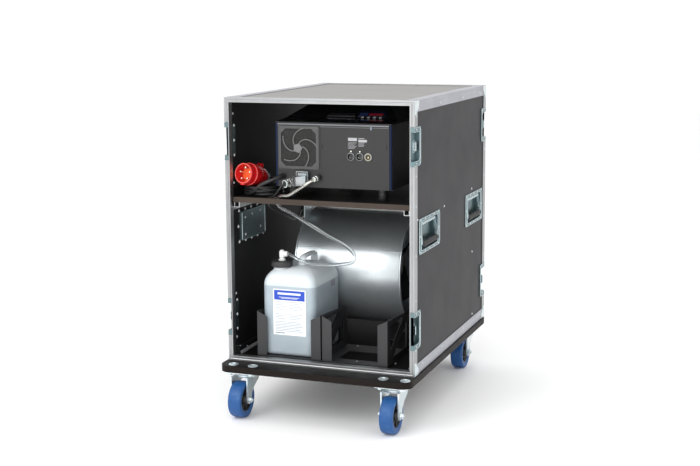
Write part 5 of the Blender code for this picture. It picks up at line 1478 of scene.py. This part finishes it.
# ---- plug and connector ----------------------------------------------------------------


def plug_point(along, radius=0.0, angle=0.0):
    across, up, axis = axes_of(PLUG_AXIS)
    return PLUG_FACE + along * axis + radius * (math.cos(angle) * across + math.sin(angle) * up)


def make_plug():
    """The round mains plug: shroud, pins, ribbed body and a grey compression gland."""
    shell = bmesh.new()
    profile = [(0.0248, 0.0010), (0.0254, 0.0002), (0.0274, 0.0), (0.0282, 0.0010), (0.0282, 0.0200),
               (0.0286, 0.0225), (0.0304, 0.0245), (0.0306, 0.0300), (0.0306, 0.0500), (0.0298, 0.0530),
               (0.0270, 0.0570), (0.0266, 0.0640), (0.0256, 0.0820), (0.0200, 0.0930), (0.0150, 0.0985),
               (0.0100, 0.0990), (0.0100, 0.0340), (0.0240, 0.0335), (0.0244, 0.0300)]
    add_turned(shell, profile, PLUG_FACE, PLUG_AXIS, 48, closed=True)
    across, up, axis = axes_of(PLUG_AXIS)
    for step in range(20):
        angle = math.tau * step / 20
        start = plug_point(0.060, 0.0266, angle)
        add_bead(shell, [start, plug_point(0.080, 0.0254, angle)], 0.0011, 6, closed=False)
    body = piece("plug_shell", shell, "red")
    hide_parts("mains_plug")
    rim = bmesh.new()
    add_turned(rim, [(0.0250, -0.0001), (0.0258, -0.0006), (0.0274, -0.0006), (0.0281, 0.0002),
                     (0.0284, 0.0030), (0.0274, 0.0030), (0.0250, 0.0020)],
               PLUG_FACE, PLUG_AXIS, 48, closed=True)
    add_turned(rim, [(0.0298, 0.0240), (0.0310, 0.0246), (0.0310, 0.0262), (0.0300, 0.0268)],
               PLUG_FACE, PLUG_AXIS, 48, closed=True)
    piece("plug_rim", rim, "red_rim")
    # The floor inside the shroud glows, painted light.
    floor = bmesh.new()
    add_turned(floor, [(0.0242, 0.0330), (0.0200, 0.0322), (0.0, 0.0318)], PLUG_FACE, PLUG_AXIS, 40)
    piece("plug_floor", floor, "red_painted_glow")
    pins = bmesh.new()
    for step in range(5):
        angle = math.radians(90 + 72 * step)
        start = plug_point(0.0335, 0.0165, angle)
        size = 0.0030 if step else 0.0036
        add_turned(pins, [(size, 0.0), (size, 0.024), (size - 0.0008, 0.0262), (0.0, 0.0268)], start, -axis,
                   16)
    piece("plug_pins", pins, "pin")
    lug = bmesh.new()
    outline = [(-0.008, 0.0), (0.008, 0.0), (0.0065, 0.0075), (0.004, 0.0090), (-0.004, 0.0090),
               (-0.0065, 0.0075)]
    hinge = PLUG_FACE + 0.078 * axis + 0.0285 * up
    for reach in (-0.0055, 0.0055):
        add_turned(lug, [(0.0030, -0.0016), (0.0070, -0.0016), (0.0070, 0.0016), (0.0030, 0.0016)],
                   hinge + reach * across, across, 20, closed=True)
    key_rows = []
    for depth in (0.001, 0.017):
        key_rows.append([PLUG_FACE + depth * axis + a * across - (0.0285 + b * 0.35) * up for a,
                         b in outline])
    add_rings(lug, key_rows)
    piece("plug_lug", lug, "red", bevel=0.0008)
    gland = bmesh.new()
    add_turned(gland, [(0.0148, 0.0960), (0.0152, 0.0975), (0.0150, 0.1090), (0.0128, 0.1110)], PLUG_FACE,
               PLUG_AXIS, 8)
    add_turned(gland, [(0.0122, 0.1110), (0.0114, 0.1160), (0.0090, 0.1200), (0.0062, 0.1238),
                       (0.0050, 0.1238)], PLUG_FACE, PLUG_AXIS, 32)
    piece("plug_gland", gland, "grey_gland", bevel=0.0003)


def connector_details():
    """The control connector's nut, seal, side ribs, and the saddle and screw of its lever."""
    axis = Vector((-0.432, -0.898, -0.0815)).normalized()
    end = Vector((-0.0715, -0.3330, 0.6530))
    nut = bmesh.new()
    add_turned(nut, [(0.0042, 0.0190), (0.0085, 0.0190), (0.0108, 0.0200), (0.0112, 0.0230), (0.0108, 0.0250),
                     (0.0098, 0.0256), (0.0042, 0.0250)],
               end, axis, 28, closed=True)
    add_turned(nut, [(0.0112, 0.0040), (0.0118, 0.0046), (0.0118, 0.0110), (0.0112, 0.0116)], end, axis, 6)
    piece("connector_nut", nut, "nickel", bevel=0.0003)
    bore = bmesh.new()
    add_turned(bore, [(0.0078, 0.0254), (0.0060, 0.0248), (0.0030, 0.0230), (0.0024, 0.0210)], end, axis, 20)
    piece("connector_seal", bore, "black")
    screw = bmesh.new()
    add_turned(screw, [(0.0032, 0.0), (0.0032, 0.0008), (0.0024, 0.0012), (0.0, 0.0012)],
               (-0.0525, -0.3040, 0.6794), (0, 0, 1), 14)
    piece("lever_screw", screw, "nickel", "lever")
    saddle = bmesh.new()
    add_box(saddle, (-0.0655, -0.3060, 0.6660), (-0.0395, -0.2990, 0.6745))
    piece("lever_saddle", saddle, "connector", bevel=0.0006)
    ribs = bmesh.new()
    for step in range(4):
        y = -0.2975 - 0.0026 * step
        add_box(ribs, (-0.0659, y - 0.0007, 0.6465), (-0.0391, y + 0.0007, 0.6694))
    piece("connector_ribs", ribs, "connector", bevel=0.0003)


# ---- carried-over nodes ----------------------------------------------------------------


def repaint(node, material, bevel=0.0, angle=38):
    item = NODES[node]
    item.data.materials.clear()
    item.data.materials.append(M[material])
    item.data.shade_smooth()
    item.data.set_sharp_from_angle(angle=math.radians(angle))
    if bevel:
        soften(item, bevel)
    return item


def repaint_below(node, height, material):
    """A second material on the faces of a node that lie below a height."""
    item = NODES[node]
    item.data.materials.append(M[material])
    for face in item.data.polygons:
        if face.center.z < height:
            face.material_index = 1


def repaint_nodes():
    plain = {
        "panel_left": ("side", 0.0006), "panel_right": ("side", 0.0006),
        "panel_bottom": ("floor_film_painted_shade", 0.0), "panel_top": ("top", 0.0006),
        "base_board": ("board", 0.0012), "canister_rack": ("rack", 0.0),
        "fan_motor": ("motor", 0.0008), "tube_impeller": ("motor", 0.0),
        "machine_body": ("body", 0.0), "machine_front_panel": ("machine", 0.0),
        "machine_hood": ("hood", 0.0), "heater_and_nozzle": ("steel", 0.0006),
        "fluid_pump": ("brass", 0.0006), "cooling_fan": ("black", 0.0),
        "connector_hood": ("connector", 0.0012), "connector_lever": ("lever", 0.0004),
        "shelf": ("shelf", 0.0005),
    }
    for node, (material, bevel) in plain.items():
        repaint(node, material, bevel)
    for node in NODES:
        # Latch and handle dishes take the darker dish zinc, painted shade in their recesses.
        if node.startswith(("latch_dish", "handle_dish")):
            repaint(node, "dish", 0.0005)
        if node.startswith(("caster_plate", "caster_fork")):
            repaint(node, "zinc", 0.0006)
        if node.startswith("panel_button"):
            repaint(node, "black", 0.0003)
    repaint_below("shelf", SHELF_TOP - 0.0152, "rail")
    repaint_below("machine_body", 0.6345, "black")
    # Painted shade: the walls' inner faces and the top's underside take the darker inside laminate.
    for side in SIDES:
        panel = NODES[f"panel_{side}"]
        panel.data.materials.append(M["inside"])
        for face in panel.data.polygons:
            if abs(face.center.x) < WALL + 0.0005:
                face.material_index = 1
    top = NODES["panel_top"]
    top.data.materials.append(M["inside"])
    for face in top.data.polygons:
        if face.center.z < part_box("panel_top")[1].z - 0.0005:
            face.material_index = 1


# ---- build -----------------------------------------------------------------------------

M["vessel"] = canister_plastic(LIQUID_LEVEL)

make_camera()
make_studio()
make_power_cable()
make_control_cable()
make_hose()
repaint_nodes()
rims = [closing_rim("closing_rim_front", 1), closing_rim("closing_rim_rear", -1)]
for side_name, side_sign in SIDES.items():
    long_angle(f"long_angle_{side_name}_top", side_sign, True)
    long_angle(f"long_angle_{side_name}_bottom", side_sign, False)
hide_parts("edge_frame")
corner_braces()
case_rivets()
latch_details()
handle_details()
floor_battens()
board_bolts()
castors()
make_guard()
panel_details()
hood_details()
rubber_feet()
rear_details()
make_canister()
make_label()
make_cap()
make_elbow()
rack_details()
make_tube()
make_plug()
connector_details()
